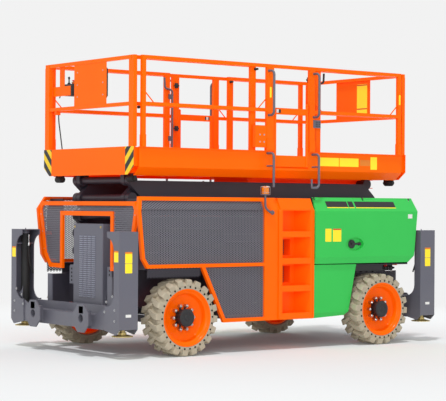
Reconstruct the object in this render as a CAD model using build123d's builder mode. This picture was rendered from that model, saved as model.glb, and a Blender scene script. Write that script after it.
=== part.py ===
"""Four-wheel-drive scissor lift with outriggers, five scissor levels and a
platform with two sliding decks.  Millimetres, +Z up, floor at z = 0.
+X runs from the steered axle to the fixed axle; the near side is -Y."""

from build123d import *
from math import atan2, cos, degrees, hypot, radians, sin
import os

os.makedirs("parts", exist_ok=True)

# ---------------------------------------------------------------- running fits
fit = 0.3                    # radial clearance of a pin in its bore
moving_gap = 6               # least gap between pieces that move past each other

# ---------------------------------------------------------------- scissor stack
levels = 5
pivot_x = 1770               # half the span between the end pivots, folded
base_pivot_z = 912
arm_pitch = 200              # height of one folded level
arm_depth = 190
arm_width = 70               # thickness of one side bar along Y
inner_arm_y = 420            # inside face of the inner frames' side bars
arm_side_gap = 10            # between inner and outer side bars
ear_radius = 62
pin_radius = 40
centre_pin_radius = 34
end_cut = 120                # length of the diagonal cut at an arm's free corner
outer_arm_y = inner_arm_y + arm_width + arm_side_gap
stack_half_width = outer_arm_y + arm_width
top_pivot_z = base_pivot_z + levels * arm_pitch
arm_angle = atan2(arm_pitch, 2 * pivot_x)        # slope of the line of pins, folded

# ---------------------------------------------------------------- lift cylinders
barrel_pivot_reach = 1300    # from an inner arm's lower pin to its cross tube
rod_eye_reach = 1427         # from an outer arm's centre to the rod eye
barrel_radius = 62
rod_radius = 42
rod_eye_radius = 60
rod_eye_half_width = 45
barrel_eye_radius = 74
barrel_eye_half_width = 55
barrel_end_room = 185        # from the barrel's open end to the rod eye, closed
spine_inner_y = 50
spine_thickness = 25
spine_depth = 116
spine_open = 235             # room for the rod eye between the spine plates
cross_tube_radius = 40

# ---------------------------------------------------------------- wheels and axles
wheelbase = 2860
tyre_radius = 419
tyre_width = 304
tyre_outer_y = 1140
rim_radius = 300
disc_y = 992                 # inner face of the wheel disc
disc_thickness = 14
hub_cap_radius = 95
spindle_radius = 45
kingpin_y = 880
kingpin_radius = 20
knuckle_radius = 52
steer_arm_reach = 150        # kingpin to the tie pin
steer_arm_radius = 24
steer_rod_radius = 15
steer_cylinder_radius = 38
steer_cylinder_half = 330
axle_half_width = 100        # of the axle beams, along X
axle_bottom = 335
yoke_half_height = 88        # clear half height between the kingpin lugs
yoke_lug = 28
wheel_x = wheelbase / 2
tyre_middle_y = tyre_outer_y - tyre_width / 2
lug_count = 20               # on each side of a tyre
tread_radius = 392           # between the lugs

# ---------------------------------------------------------------- chassis
roller_radius = 50
roller_width = 68
track_gap = 0.5              # roller to flange
track_flange = 12
track_web = 10
beam_width = 88
beam_bottom = 520
chassis_half_length = 2082
shelf_z = 940
shelf_thickness = 10
tray_z = 385
tray_thickness = 12
tray_half_length = 900
bay_half_length = chassis_half_length - 180   # front end of the shelves over the wheels
rear_bay_end = chassis_half_length - 122
panel_back_y = 1010          # inside face of the side guards
panel_thickness = 40
bulkhead = 12
roof_z = 1705
roof_edge_y = 955
ladder_x = (-77, 415)
ladder_depth = 330
front_plate_x = -1860
hood_x = (ladder_x[1] + 15, chassis_half_length - 23)
hood_hinge_y = 978
hood_hinge_z = 1722
hinge_rod_radius = 8
hinge_barrel_radius = 14

# ---------------------------------------------------------------- outriggers
leg_x = (chassis_half_length - 12, chassis_half_length + 228)
leg_outer_y = 1123
leg_plate = 12
leg_top = 1352
leg_bottom = 318
jack_radius = 46
jack_rod_radius = 32
jack_y = 1010
foot_radius = 115
foot_top = 262
foot_bottom = 240
outrigger_beam_z = (303, 456)
octagon_y = 500
octagon_z = 412
octagon_plate = 15
lashing_hole_radius = 46
joint_gap = 0.5              # between the outrigger beam and its bolted end plates
octagon_x = leg_x[1] + 80

# ---------------------------------------------------------------- platform
platform_half_length = 1930
platform_half_width = 925
sheet = 6
toe_top = 2265
toe_fold = toe_top - 220
side_bottom = toe_fold - 88
side_bottom_y = 820
floor_z = 2040
floor_thickness = 8
joist_bottom = 1985
end_plate_x = platform_half_length + 70
end_plate_z = (1963, 2268)
rail_tube = 40
top_rail_z = 3230
mid_rail_z = 2728
main_rail_y = 925
slide_rail_y = 840
gate_x = (-80, 440)
top_roller_radius = 45
top_roller_width = 86
channel_wall = 8


def save(piece, name):
    """Label a finished piece and write its STEP file."""
    piece.part.label = name
    export_step(piece.part, f"parts/{name}.step")


def slab(plane, outline, thickness, mode=Mode.ADD):
    """Extrude a closed outline drawn on a plane."""
    with BuildSketch(plane) as face:
        with BuildLine():
            Polyline(*outline, close=True)
        make_face()
    extrude(face.sketch, amount=thickness, mode=mode)


def block(x, y, z, mode=Mode.ADD):
    """A box between two limits on each axis."""
    low, high = (min(x), min(y), min(z)), (max(x), max(y), max(z))
    middle = [(a + b) / 2 for a, b in zip(low, high)]
    with Locations(tuple(middle)):
        Box(*[b - a for a, b in zip(low, high)], mode=mode)


def rod_y(x, z, radius, y_from, y_to, mode=Mode.ADD):
    """A round bar along Y."""
    with BuildSketch(Plane.XZ.offset(-min(y_from, y_to))) as face:
        with Locations((x, z)):
            Circle(radius)
    extrude(face.sketch, amount=-abs(y_to - y_from), mode=mode)


def rod_x(y, z, radius, x_from, x_to, mode=Mode.ADD):
    """A round bar along X."""
    with BuildSketch(Plane.YZ.offset(min(x_from, x_to))) as face:
        with Locations((y, z)):
            Circle(radius)
    extrude(face.sketch, amount=abs(x_to - x_from), mode=mode)


def rod_z(x, y, radius, z_from, z_to, mode=Mode.ADD):
    """A round bar along Z."""
    with BuildSketch(Plane.XY.offset(min(z_from, z_to))) as face:
        with Locations((x, y)):
            Circle(radius)
    extrude(face.sketch, amount=abs(z_to - z_from), mode=mode)


def bar_xz(start, end, width, y_from, y_to, mode=Mode.ADD):
    """A flat bar in an XZ plane along the line from start to end."""
    run = Vector(end[0] - start[0], end[1] - start[1])
    middle = ((start[0] + end[0]) / 2, (start[1] + end[1]) / 2)
    with BuildSketch(Plane.XZ.offset(-min(y_from, y_to))) as face:
        with Locations(Location((middle[0], middle[1], 0), (0, 0, degrees(atan2(run.Y, run.X))))):
            Rectangle(run.length, width)
    extrude(face.sketch, amount=-abs(y_to - y_from), mode=mode)


# ============================================================ scissor arms
# An inner frame rises towards +X: its pins are its lower corner at -X and its
# upper corner at +X.  An outer frame is the mirror image.  Folded, every side
# bar is level and its pins lie on the boundaries between the levels.
def arm_outline(rise, bottom):
    """Side view of one arm: level bar, ears round the pins, free corners cut."""
    low, high = bottom + (arm_pitch - arm_depth) / 2, bottom + (arm_pitch + arm_depth) / 2
    nose = ear_radius * 0.72
    left = -pivot_x * rise
    return [
        (left, low),
        (-left - end_cut * rise, low),
        (-left + nose * rise, bottom + arm_pitch - nose),
        (-left, high),
        (left + end_cut * rise, high),
        (left - nose * rise, bottom + nose),
    ]


def arm_frame(rise, level, inner_y):
    """Two side bars with ears; rise is +1 for an inner frame, -1 for an outer one."""
    bottom = base_pivot_z + (level - 1) * arm_pitch
    pins = [(-pivot_x * rise, bottom), (pivot_x * rise, bottom + arm_pitch)]
    slab(Plane.XZ.offset(inner_y), arm_outline(rise, bottom), arm_width)
    for x, z in pins:
        rod_y(x, z, ear_radius, -inner_y, -inner_y - arm_width)
    mirror(about=Plane.XZ)
    return pins, bottom + arm_pitch / 2


for level in range(1, levels + 1):
    low = base_pivot_z + (level - 1) * arm_pitch
    with BuildPart() as inner_arm:
        pins, centre_z = arm_frame(+1, level, inner_arm_y)
        for x, z in pins[:1] if level == levels else pins:
            rod_y(x, z, pin_radius + fit, -stack_half_width, stack_half_width, Mode.SUBTRACT)
        rod_y(0, centre_z, centre_pin_radius + fit, -stack_half_width, stack_half_width,
              Mode.SUBTRACT)
        tube_x = barrel_pivot_reach * cos(arm_angle) - pivot_x
        tube_z = low + barrel_pivot_reach * sin(arm_angle)
        rod_y(tube_x, tube_z, cross_tube_radius, -inner_arm_y, inner_arm_y)
        if level not in (1, 3, levels):
            rod_y(-tube_x, 2 * centre_z - tube_z, cross_tube_radius, -inner_arm_y, inner_arm_y)
        if level == levels:
            for side in (-1, 1):
                rod_y(*pins[1], top_roller_radius * 0.6, side * (inner_arm_y - 4), side * inner_arm_y)
                rod_y(*pins[1], top_roller_radius, side * (inner_arm_y - 4 - top_roller_width),
                      side * (inner_arm_y - 4))
    save(inner_arm, f"inner_arm_{level}")

    with BuildPart() as outer_arm:
        pins, centre_z = arm_frame(-1, level, outer_arm_y)
        for x, z in pins:
            rod_y(x, z, pin_radius, -stack_half_width, stack_half_width)
        for side in (-1, 1):
            rod_y(0, centre_z, centre_pin_radius, side * inner_arm_y, side * stack_half_width)
        if level == 1:
            for side in (-1, 1):
                near, far = stack_half_width, stack_half_width + moving_gap + 2
                rod_y(*pins[0], roller_radius * 0.6, side * near, side * far)
                rod_y(*pins[0], roller_radius, side * far, side * (far + roller_width))
        if level in (2, 4):
            eye = (rod_eye_reach * cos(arm_angle), centre_z - rod_eye_reach * sin(arm_angle))
            for side in (-1, 1):
                y = (side * spine_inner_y, side * (spine_inner_y + spine_thickness))
                bar_xz(eye, pins[0], spine_depth, *y)
                rod_y(*eye, spine_depth / 2, *y)
                rod_y(*eye, rod_radius * 0.7, y[1], y[1] + side * 18)
            half = spine_inner_y + 1
            web = (eye[0] + spine_open, eye[1] - spine_open * sin(arm_angle))
            bar_xz(web, pins[0], spine_depth / 3, -half, half)
    save(outer_arm, f"outer_arm_{level}")

# ============================================================ lift cylinders
for number, level in enumerate((1, 3), start=1):
    low = base_pivot_z + (level - 1) * arm_pitch
    foot = Vector(barrel_pivot_reach * cos(arm_angle) - pivot_x, 0,
                  low + barrel_pivot_reach * sin(arm_angle))
    eye = Vector(rod_eye_reach * cos(arm_angle), 0,
                 low + 1.5 * arm_pitch - rod_eye_reach * sin(arm_angle))
    axis = (eye - foot).normalized()
    closed = (eye - foot).length
    bore_start = closed * 0.14
    along = Plane(origin=foot, x_dir=(0, 1, 0), z_dir=axis)
    with BuildPart() as barrel:
        with BuildSketch(along):
            Circle(barrel_radius)
        extrude(amount=closed - barrel_end_room)
        with BuildSketch(along.offset(closed - barrel_end_room - 60)):
            Circle(barrel_radius + 9)
        extrude(amount=60)
        rod_y(foot.X, foot.Z, barrel_eye_radius, -barrel_eye_half_width, barrel_eye_half_width)
        rod_y(foot.X, foot.Z, cross_tube_radius + fit, -150, 150, Mode.SUBTRACT)
        with BuildSketch(along.offset(bore_start)):
            Circle(rod_radius + fit)
        extrude(amount=closed, mode=Mode.SUBTRACT)
    save(barrel, f"lift_barrel_{number}")

    with BuildPart() as rod:
        with BuildSketch(along.offset(bore_start + 20)):
            Circle(rod_radius)
        extrude(amount=closed - bore_start - 20)
        rod_y(eye.X, eye.Z, rod_eye_radius, -rod_eye_half_width, rod_eye_half_width)
    save(rod, f"lift_rod_{number}")

# ============================================================ chassis
track_y = stack_half_width + moving_gap
beam_out_y = track_y + beam_width
track_low = base_pivot_z - roller_radius - track_gap
track_high = base_pivot_z + roller_radius + track_gap
beam_top = track_high + track_flange
cross_members = [            # x, width along X, bottom z, top z
    (-pivot_x, 130, 620, 800),
    (-wheel_x, 2 * axle_half_width, beam_bottom, 700),
    (-600, 110, 620, 800),
    (600, 110, 620, 800),
    (wheel_x, 2 * axle_half_width, beam_bottom, 700),
    (pivot_x, 130, 620, 800),
]

with BuildPart() as chassis:
    # Box beams: the upper half of each is the channel of the lowest rollers.
    slab(Plane.YZ.offset(-chassis_half_length), [
        (-track_y, beam_bottom), (-beam_out_y, beam_bottom), (-beam_out_y, beam_top),
        (-track_y, beam_top), (-track_y, track_high), (-beam_out_y + track_web, track_high),
        (-beam_out_y + track_web, track_low), (-track_y, track_low),
    ], 2 * chassis_half_length)
    mirror(about=Plane.XZ)
    for end in (-1, 1):
        block((end * (bay_half_length + 8), end * (chassis_half_length + 1)),
              (-beam_out_y - 1, beam_out_y + 1), (track_low - 15, beam_top + 1), Mode.SUBTRACT)
    for x, width, bottom, top in cross_members:
        block((x - width / 2, x + width / 2), (-track_y, track_y), (bottom, top))
    for end in (-1, 1):
        block((end * abs(front_plate_x), end * (abs(front_plate_x) - 15)), (-track_y, track_y),
              (beam_bottom, track_low - 15))
    # Ears and tube of the lowest inner frame's fixed pivots.
    for side in (-1, 1):
        y = (side * outer_arm_y, side * stack_half_width)
        block((-pivot_x - ear_radius, -pivot_x + ear_radius), y, (700, base_pivot_z))
        rod_y(-pivot_x, base_pivot_z, ear_radius, *y)
    rod_y(-pivot_x, base_pivot_z, pin_radius, -stack_half_width, stack_half_width)
save(chassis, "chassis_frame")


# ============================================================ side compartments
# Sheet-metal boxes on the chassis beams: shelf over the wheel, tray between
# the wheels, end walls and roof; open towards the guard or the hood.
def wall_outline(bottom):
    """An end wall, narrowing towards the roof."""
    return [
        (-beam_out_y, bottom), (-panel_back_y, bottom), (-panel_back_y, 1560),
        (-roof_edge_y + 15, roof_z), (-beam_out_y, roof_z),
    ]


compartments = [             # end at the ladder, far end, direction away from the ladder
    (ladder_x[0], -bay_half_length, -1),
    (ladder_x[1], rear_bay_end, 1),
]
with BuildPart() as side_boxes:
    for near_x, far_x, way in compartments:
        tray_end = way * tray_half_length
        slab(Plane.YZ.offset(near_x), wall_outline(343), way * bulkhead)
        slab(Plane.YZ.offset(far_x - way * bulkhead), wall_outline(shelf_z), way * bulkhead)
        block((near_x, far_x), (-beam_out_y, -panel_back_y), (shelf_z, shelf_z + shelf_thickness))
        block((near_x, far_x), (-beam_out_y, -roof_edge_y + 15), (roof_z - 8, roof_z))
        block((near_x, tray_end), (-beam_out_y, -panel_back_y), (tray_z, tray_z + tray_thickness))
        block((tray_end, tray_end - way * bulkhead), (-beam_out_y, -panel_back_y),
              (tray_z, shelf_z))
    # Hinge rods of the hoods, held in three lugs on the roof edge.
    for x in (hood_x[0] + 46, 1230, hood_x[1] - 76):
        block((x, x + 12), (-roof_edge_y + 15, -hood_hinge_y), (roof_z - 8, hood_hinge_z + 4))
        rod_x(-hood_hinge_y, hood_hinge_z, hinge_rod_radius + 7, x, x + 12)
    rod_x(-hood_hinge_y, hood_hinge_z, hinge_rod_radius, hood_x[0] + 46, hood_x[1] - 64)
    mirror(about=Plane.XZ)
save(side_boxes, "side_compartments")

# Battery packs under the hoods; hydraulic tank, drive unit and valve block.
battery_x = (ladder_x[1] + 205, rear_bay_end - 180)
tank_x = (-bay_half_length + 402, -tray_half_length + 140)
with BuildPart() as power:
    block(battery_x, (-beam_out_y - 30, -940), (shelf_z + shelf_thickness, 1420))
    block(tank_x, (-beam_out_y - 30, -900), (shelf_z + shelf_thickness, 1380))
    fillet(power.edges().filter_by(Axis.Z), 20)
    mirror(about=Plane.XZ)
    block((1120, 1560), (-beam_out_y - 40, -1000), (shelf_z - 70, shelf_z))
    for x in (1180, 1270, 1360, 1450):
        rod_z(x, -960, 22, shelf_z - 88, shelf_z - 70)
save(power, "power_units")


# ============================================================ bent side panels
def bent_panel(profile, outline, windows=()):
    """A sheet bent along X: its YZ profile cut to an XZ outline with windows."""
    x_low = min(x for x, z in outline)
    x_high = max(x for x, z in outline)
    slab(Plane.YZ.offset(x_low), profile, x_high - x_low)
    slab(Plane.XZ.offset(700), outline, 500, Mode.INTERSECT)
    for window in windows:
        slab(Plane.XZ.offset(700), window, 500, Mode.SUBTRACT)


def band(outer, thickness):
    """A closed profile: the outer line and the same line moved towards the machine."""
    return outer + [(y + thickness, z) for y, z in reversed(outer)]


guard_y = panel_back_y + panel_thickness
guard_line = [(-guard_y, 343), (-guard_y, 1588), (-guard_y + 70, 1728)]
end_guard_x = chassis_half_length - 72
guard_outline = [
    (-end_guard_x + 44, 1728), (-end_guard_x - 15, 1588), (-end_guard_x + 41, 1059),
    (-end_guard_x + 108, 957), (-1174, 957), (-872, 343), (-94, 343), (-94, 1728),
]
guard_windows = [
    [(-end_guard_x + 66, 1686), (-end_guard_x + 26, 1580), (-end_guard_x + 80, 1070),
     (-end_guard_x + 128, 997), (-293, 997), (-293, 1686)],
    [(-1128, 957), (-846, 385), (-293, 385), (-293, 957)],
]
screen_line = [(y + 22, z) for y, z in guard_line]

end_guard_depth = 30
end_outline = [
    (-955, 1675), (-1004, 1590), (-895, 1065), (-775, 920), (-495, 915), (-495, 1515),
    (495, 1515), (495, 915), (775, 920), (895, 1065), (1004, 1590), (955, 1675),
]
end_window = [
    (-925, 1628), (-952, 1582), (-848, 1085), (-752, 968), (-545, 965), (-545, 1565),
    (545, 1565), (545, 965), (752, 968), (848, 1085), (952, 1582), (925, 1628),
]
bracket_seats = [            # |y| low, |y| high, bottom z, of the end guards' brackets
    (792, 832, 985),
    (904, 944, 1290),
]
with BuildPart() as guards:
    bent_panel(band(guard_line, panel_thickness), guard_outline, guard_windows)
    slab(Plane.YZ.offset(-end_guard_x), end_outline, end_guard_depth)
    slab(Plane.YZ.offset(-end_guard_x - 1), end_window, end_guard_depth + 2, Mode.SUBTRACT)
    slab(Plane.YZ.offset(end_guard_x), end_outline, -end_guard_depth)
    slab(Plane.YZ.offset(end_guard_x + 1), end_window, -end_guard_depth - 2, Mode.SUBTRACT)
    for low_y, high_y, z in bracket_seats:
        block((-end_guard_x + end_guard_depth, -bay_half_length), (-low_y, -high_y), (z, z + 30))
        block((end_guard_x - end_guard_depth, rear_bay_end), (-low_y, -high_y), (z, z + 30))
    mirror(about=Plane.XZ)
save(guards, "guards")

screen_thickness = 5
strip_bottom_z, strip_end_x = 862, -1190
with BuildPart() as screens:
    bent_panel(band(screen_line, screen_thickness), guard_outline)
    with BuildPart(mode=Mode.PRIVATE) as kept:
        for window in guard_windows:
            slab(Plane.XZ.offset(700), window, 500)
    add(kept.part, mode=Mode.INTERSECT)
    # Strip over the steered wheel, hanging from the guard's lower bar.
    block((-end_guard_x + 130, strip_end_x), (-guard_y + 22, -guard_y + 22 + screen_thickness),
          (strip_bottom_z, 957))
    mirror(about=Plane.XZ)
    for end in (-1, 1):
        slab(Plane.YZ.offset(end * (end_guard_x - 12)), end_window, -end * screen_thickness)
save(screens, "guard_screens")

# ============================================================ ladders
step_edges = (1618, 1313, 1008, 694, 380)
ladder_y = guard_y + 10
with BuildPart() as ladder:
    slab(Plane.YZ.offset(ladder_x[0]), [
        (-ladder_y, 343), (-ladder_y, 1606), (-ladder_y + 58, 1725),
        (-ladder_y + ladder_depth, 1725), (-ladder_y + ladder_depth, 343),
    ], ladder_x[1] - ladder_x[0])
    for upper, lower in zip(step_edges, step_edges[1:]):
        slab(Plane.XY.offset(lower + 34), [
            (ladder_x[0] + 36, -ladder_y - 1), (ladder_x[1] - 36, -ladder_y - 1),
            (ladder_x[1] - 130, -ladder_y + 190), (ladder_x[0] + 36, -ladder_y + 190),
        ], upper - lower - 68, Mode.SUBTRACT)
    for upper, lower in zip(step_edges[1:3], step_edges[2:4]):
        block((ladder_x[0] + 62, ladder_x[1] - 190), (-ladder_y + 189, -ladder_y + ladder_depth + 1),
              (lower + 60, upper - 60), Mode.SUBTRACT)
    mirror(about=Plane.XZ)
save(ladder, "ladders")

# ============================================================ lower covers and hoods
cover_sheet = 16
cover_line = [(-guard_y + 24, 335), (-guard_y, 400), (-guard_y, 959)]
with BuildPart() as cover:
    bent_panel(band(cover_line, cover_sheet), [
        (ladder_x[1] + 10, 958), (1090, 956), (971, 406), (910, 362), (ladder_x[1] + 10, 339),
    ])
    for x in (500, 840):
        block((x, x + 40), (-guard_y + cover_sheet, -panel_back_y), (tray_z + 1, shelf_z + shelf_thickness))
    mirror(about=Plane.XZ)
save(cover, "lower_covers")

hood_line = [
    (-hood_hinge_y - 2, 1738), (-1080, 1580), (-1080, 1045), (-1068, 968),
]
hood_outline = [
    (470, 1742), (431, 1580), (435, 1045), (436, 966), (1912, 966), (2003, 1045),
    (hood_x[1], 1580), (hood_x[1] - 18, 1742),
]
recess_x, recess_z, recess_half, recess_rise = 1040, 1193, 140, 78
with BuildPart() as hood:
    bent_panel(band(hood_line, 18), hood_outline)
    # Side flanges of the bent sheet.
    for x in (hood_outline[1][0] + 22, 1925):
        slab(Plane.YZ.offset(x), [
            (-1062, 1045), (-1062, 1575), (-1000, 1672), (-1015, 1560), (-1025, 1045),
        ], 10)
    with BuildSketch(Plane.XZ.offset(1090)) as cup:
        with Locations((recess_x, recess_z)):
            Ellipse(recess_half, recess_rise)
    extrude(cup.sketch, amount=-34, mode=Mode.SUBTRACT)
    with BuildSketch(Plane.XZ.offset(1052)) as bowl:
        with Locations((recess_x, recess_z)):
            Ellipse(recess_half + 8, recess_rise + 8)
            Ellipse(recess_half - 6, recess_rise - 6, mode=Mode.SUBTRACT)
    extrude(bowl.sketch, amount=12)
    with BuildSketch(Plane.XZ.offset(1048)) as back:
        with Locations((recess_x, recess_z)):
            Ellipse(recess_half + 8, recess_rise + 8)
    extrude(back.sketch, amount=4)
    # Hinge barrels round the rod, between the lugs.
    for x in ((hood_x[0] + 70, 640), (1080, 1222), (1250, 1400), (1800, hood_x[1] - 84)):
        rod_x(-hood_hinge_y, hood_hinge_z, hinge_barrel_radius, *x)
    rod_x(-hood_hinge_y, hood_hinge_z, hinge_rod_radius + fit, 400, 2100, Mode.SUBTRACT)
    for x in (hood_x[0] + 46, 1230, hood_x[1] - 76):
        block((x - 6, x + 18), (-hood_hinge_y - 24, -900), (hood_hinge_z - 24, 1760), Mode.SUBTRACT)
save(hood, "hood_near")

with BuildPart() as hood_far:
    mirror(hood.part, about=Plane.XZ)
save(hood_far, "hood_far")

# ============================================================ louvred cabinet
cabinet_x = (-2030, front_plate_x)
cabinet_y = (-370, 230)
cabinet_z = (480, 1426)
slot_rows, slot_columns = 30, 4
slot_y, slot_z, slot_depth = 58, 10, 4
slot_pitch_y, slot_pitch_z, slot_middle_z = 84, 23, 950
with BuildPart() as cabinet:
    block(cabinet_x, cabinet_y, cabinet_z)
    fillet(cabinet.edges().filter_by(Axis.Z), 14)
    with BuildSketch(Plane.YZ.offset(cabinet_x[0])) as slots:
        with Locations((sum(cabinet_y) / 2, slot_middle_z)):
            with GridLocations(slot_pitch_y, slot_pitch_z, slot_columns, slot_rows):
                Rectangle(slot_y, slot_z)
    extrude(slots.sketch, amount=slot_depth, mode=Mode.SUBTRACT)
    for side, y in ((-1, cabinet_y[0]), (1, cabinet_y[1])):
        block((cabinet_x[0] + 20, cabinet_x[1]), (y, y + side * 150), (500, 512))
        slab(Plane.XZ.offset(-y - (6 if side > 0 else 0)), [
            (cabinet_x[0] + 20, 512), (cabinet_x[1], 512), (cabinet_x[1], 760), (cabinet_x[0] + 70, 760),
        ], -side * 6)
save(cabinet, "louvred_cabinet")

# ============================================================ beacon on its bent pipe
beacon = (-315, -1080, 1757)
with BuildPart() as lamp:
    route = [(-187, -guard_y, 1560), (-187, beacon[1], 1560), (-315, beacon[1], 1640), beacon]
    with BuildLine() as pipe_line:
        FilletPolyline(*route, radius=[24, 34])
    with BuildSketch(Plane(origin=route[0], z_dir=(0, -1, 0))):
        Circle(12)
    sweep(path=pipe_line.line)
    rod_y(route[0][0], route[0][2], 26, -guard_y, -guard_y - 12)
    rod_z(beacon[0], beacon[1], 58, beacon[2], beacon[2] + 10)
    rod_z(beacon[0], beacon[1], 44, beacon[2] + 10, beacon[2] + 92)
    rod_z(beacon[0], beacon[1], 34, beacon[2] + 92, beacon[2] + 104)
save(lamp, "beacon")

# ============================================================ outrigger beams and legs
beam_x = (leg_x[0] + leg_plate, leg_x[1] - leg_plate)
plate_root = beam_x[1] + joint_gap
leg_inner_y = 888
neck_y, neck_z = -leg_outer_y + 105, (690, 1148)
for name, end in (("front", -1), ("rear", 1)):
    with BuildPart() as beam:
        block([end * x for x in beam_x], (-leg_inner_y + 40, leg_inner_y - 40), outrigger_beam_z)
        for side in (-1, 1):
            y = (side * (octagon_y - 75), side * (octagon_y + 75))
            block((end * plate_root, end * (octagon_x - octagon_plate)), y, (330, 496))
            block((end * chassis_half_length, end * (chassis_half_length + 16)),
                  (side * track_y, side * beam_out_y), (303, 850))
            with BuildSketch(Plane.YZ.offset(end * (octagon_x - octagon_plate))) as plate:
                with Locations((side * octagon_y, octagon_z)):
                    RegularPolygon(150, 8, major_radius=False, rotation=22.5)
            extrude(plate.sketch, amount=end * octagon_plate)
            rod_x(side * octagon_y, octagon_z, lashing_hole_radius,
                  end * plate_root, end * octagon_x, Mode.SUBTRACT)
        block((end * (leg_x[0] + 50), end * (leg_x[0] + 90)), (-leg_inner_y + 60, leg_inner_y - 60),
              (outrigger_beam_z[1], 548))
    save(beam, f"outrigger_beam_{name}")

    with BuildPart() as legs:
        for x in (leg_x[0], leg_x[1] - leg_plate):
            with BuildSketch(Plane.YZ.offset(end * x)) as side_plate:
                with BuildLine():
                    Polyline((neck_y, neck_z[1]), (neck_y, neck_z[0]))
                    TangentArc((neck_y, neck_z[1]), (-leg_inner_y, neck_z[1] + 142), tangent=(0, 1))
                    TangentArc((neck_y, neck_z[0]), (-leg_inner_y + 40, 560), tangent=(0, -1))
                    Polyline((-leg_inner_y + 40, 560), (-leg_inner_y + 48, 303), (-leg_outer_y + 60, 262),
                             (-leg_outer_y, leg_bottom), (-leg_outer_y, leg_top),
                             (-leg_inner_y, leg_top), (-leg_inner_y, neck_z[1] + 142))
                make_face()
            extrude(side_plate.sketch, amount=end * leg_plate)
        block([end * x for x in leg_x], (-leg_outer_y, -leg_outer_y + leg_plate), (leg_bottom, leg_top))
        block([end * x for x in leg_x], (-leg_outer_y, -leg_inner_y), (leg_top - 10, leg_top))
        centre_x = end * (leg_x[0] + leg_x[1]) / 2
        rod_z(centre_x, -jack_y, jack_radius, leg_bottom + 40, leg_top - 10)
        for z in (420, 1180):
            block([end * x for x in beam_x], (-leg_outer_y + leg_plate, -jack_y), (z, z + 14))
        rod_z(centre_x, -jack_y, jack_rod_radius + fit, 200, leg_top - 30, Mode.SUBTRACT)
        mirror(about=Plane.XZ)
    save(legs, f"outrigger_legs_{name}")

    for word, side in (("near", -1), ("far", 1)):
        with BuildPart() as jack:
            rod_z(centre_x, side * jack_y, jack_rod_radius, foot_top, 1290)
            with BuildSketch(Plane.XZ.offset(-side * jack_y)) as shoe:
                with BuildLine():
                    Polyline((centre_x, foot_bottom), (centre_x + foot_radius, foot_bottom),
                             (centre_x + foot_radius, foot_bottom + 8), (centre_x + 60, foot_top),
                             (centre_x, foot_top), close=True)
                make_face()
            revolve(shoe.sketch, axis=Axis((centre_x, side * jack_y, 0), (0, 0, 1)))
            rod_z(centre_x, side * jack_y, 44, foot_top, foot_top + 26)
        save(jack, f"jack_foot_{name}_{word}")

# ============================================================ axles, knuckles, steering
front_x, rear_x = -wheel_x, wheel_x
with BuildPart() as front_axle:
    block((front_x - axle_half_width, front_x + axle_half_width), (-704, 704),
          (axle_bottom, beam_bottom))
    for side in (-1, 1):
        block((front_x - axle_half_width, front_x + axle_half_width),
              (side * (beam_out_y + 4), side * 704),
              (tyre_radius - yoke_half_height - yoke_lug, tyre_radius + yoke_half_height + yoke_lug))
        for up in (-1, 1):
            z = (tyre_radius + up * yoke_half_height, tyre_radius + up * (yoke_half_height + yoke_lug))
            block((front_x - knuckle_radius, front_x + knuckle_radius), (side * 690, side * kingpin_y), z)
            rod_z(front_x, side * kingpin_y, knuckle_radius, *z)
        rod_z(front_x, side * kingpin_y, kingpin_radius + fit, 250, 600, Mode.SUBTRACT)
        block((front_x - axle_half_width, front_x - steer_arm_reach + 7 - 30),
              (side * 240, side * 300), (395, 463))
    tie_x = front_x - steer_arm_reach * (1 + cos(radians(25))) / 2
    tie_z = tyre_radius + 10
    rod_y(tie_x, tie_z, steer_cylinder_radius, -steer_cylinder_half, steer_cylinder_half)
    rod_y(tie_x, tie_z, steer_rod_radius + fit, -400, 400, Mode.SUBTRACT)
save(front_axle, "front_axle")

with BuildPart() as rear_axle:
    block((rear_x - axle_half_width, rear_x + axle_half_width), (-660, 660), (axle_bottom, beam_bottom))
    for side in (-1, 1):
        rod_y(rear_x, tyre_radius, 84, side * 660, side * (disc_y - 8))
        rod_y(rear_x, tyre_radius, spindle_radius, side * (disc_y - 8), side * 1050)
save(rear_axle, "rear_axle")

for word, side in (("near", -1), ("far", 1)):
    with BuildPart() as knuckle:
        rod_z(front_x, side * kingpin_y, knuckle_radius, tyre_radius - yoke_half_height + 1,
              tyre_radius + yoke_half_height - 1)
        rod_z(front_x, side * kingpin_y, kingpin_radius, tyre_radius - yoke_half_height - yoke_lug,
              tyre_radius + yoke_half_height + yoke_lug)
        rod_y(front_x, tyre_radius, 60, side * kingpin_y, side * 950)
        rod_y(front_x, tyre_radius, 84, side * 938, side * (disc_y - 8))
        rod_y(front_x, tyre_radius, spindle_radius, side * (disc_y - 8), side * 1050)
        block((front_x, front_x - steer_arm_reach), (side * (kingpin_y - 22), side * (kingpin_y + 22)),
              (tie_z - 46, tie_z - 20))
        rod_z(front_x - steer_arm_reach, side * kingpin_y, steer_arm_radius, tie_z - 46, tie_z - 20)
        rod_z(front_x - steer_arm_reach, side * kingpin_y, 12, tie_z - 20, tie_z + 26)
        rod_z(front_x - steer_arm_reach, side * kingpin_y, 18, tie_z + 19, tie_z + 26)
    save(knuckle, f"knuckle_{word}")

with BuildPart() as tie:
    rod_y(tie_x, tie_z, steer_rod_radius, -kingpin_y + 30, kingpin_y - 30)
    for side in (-1, 1):
        rod_z(tie_x, side * kingpin_y, 38, tie_z - 17, tie_z + 17)
        rod_z(tie_x, side * kingpin_y, 12 + 9, tie_z - 20, tie_z + 20, Mode.SUBTRACT)
save(tie, "steering_rod")

# ============================================================ wheels
facet = 360 / (2 * lug_count)
facet_rise = 1 / cos(radians(facet / 2))     # keeps a tyre's flat facets off the round rim
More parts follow.
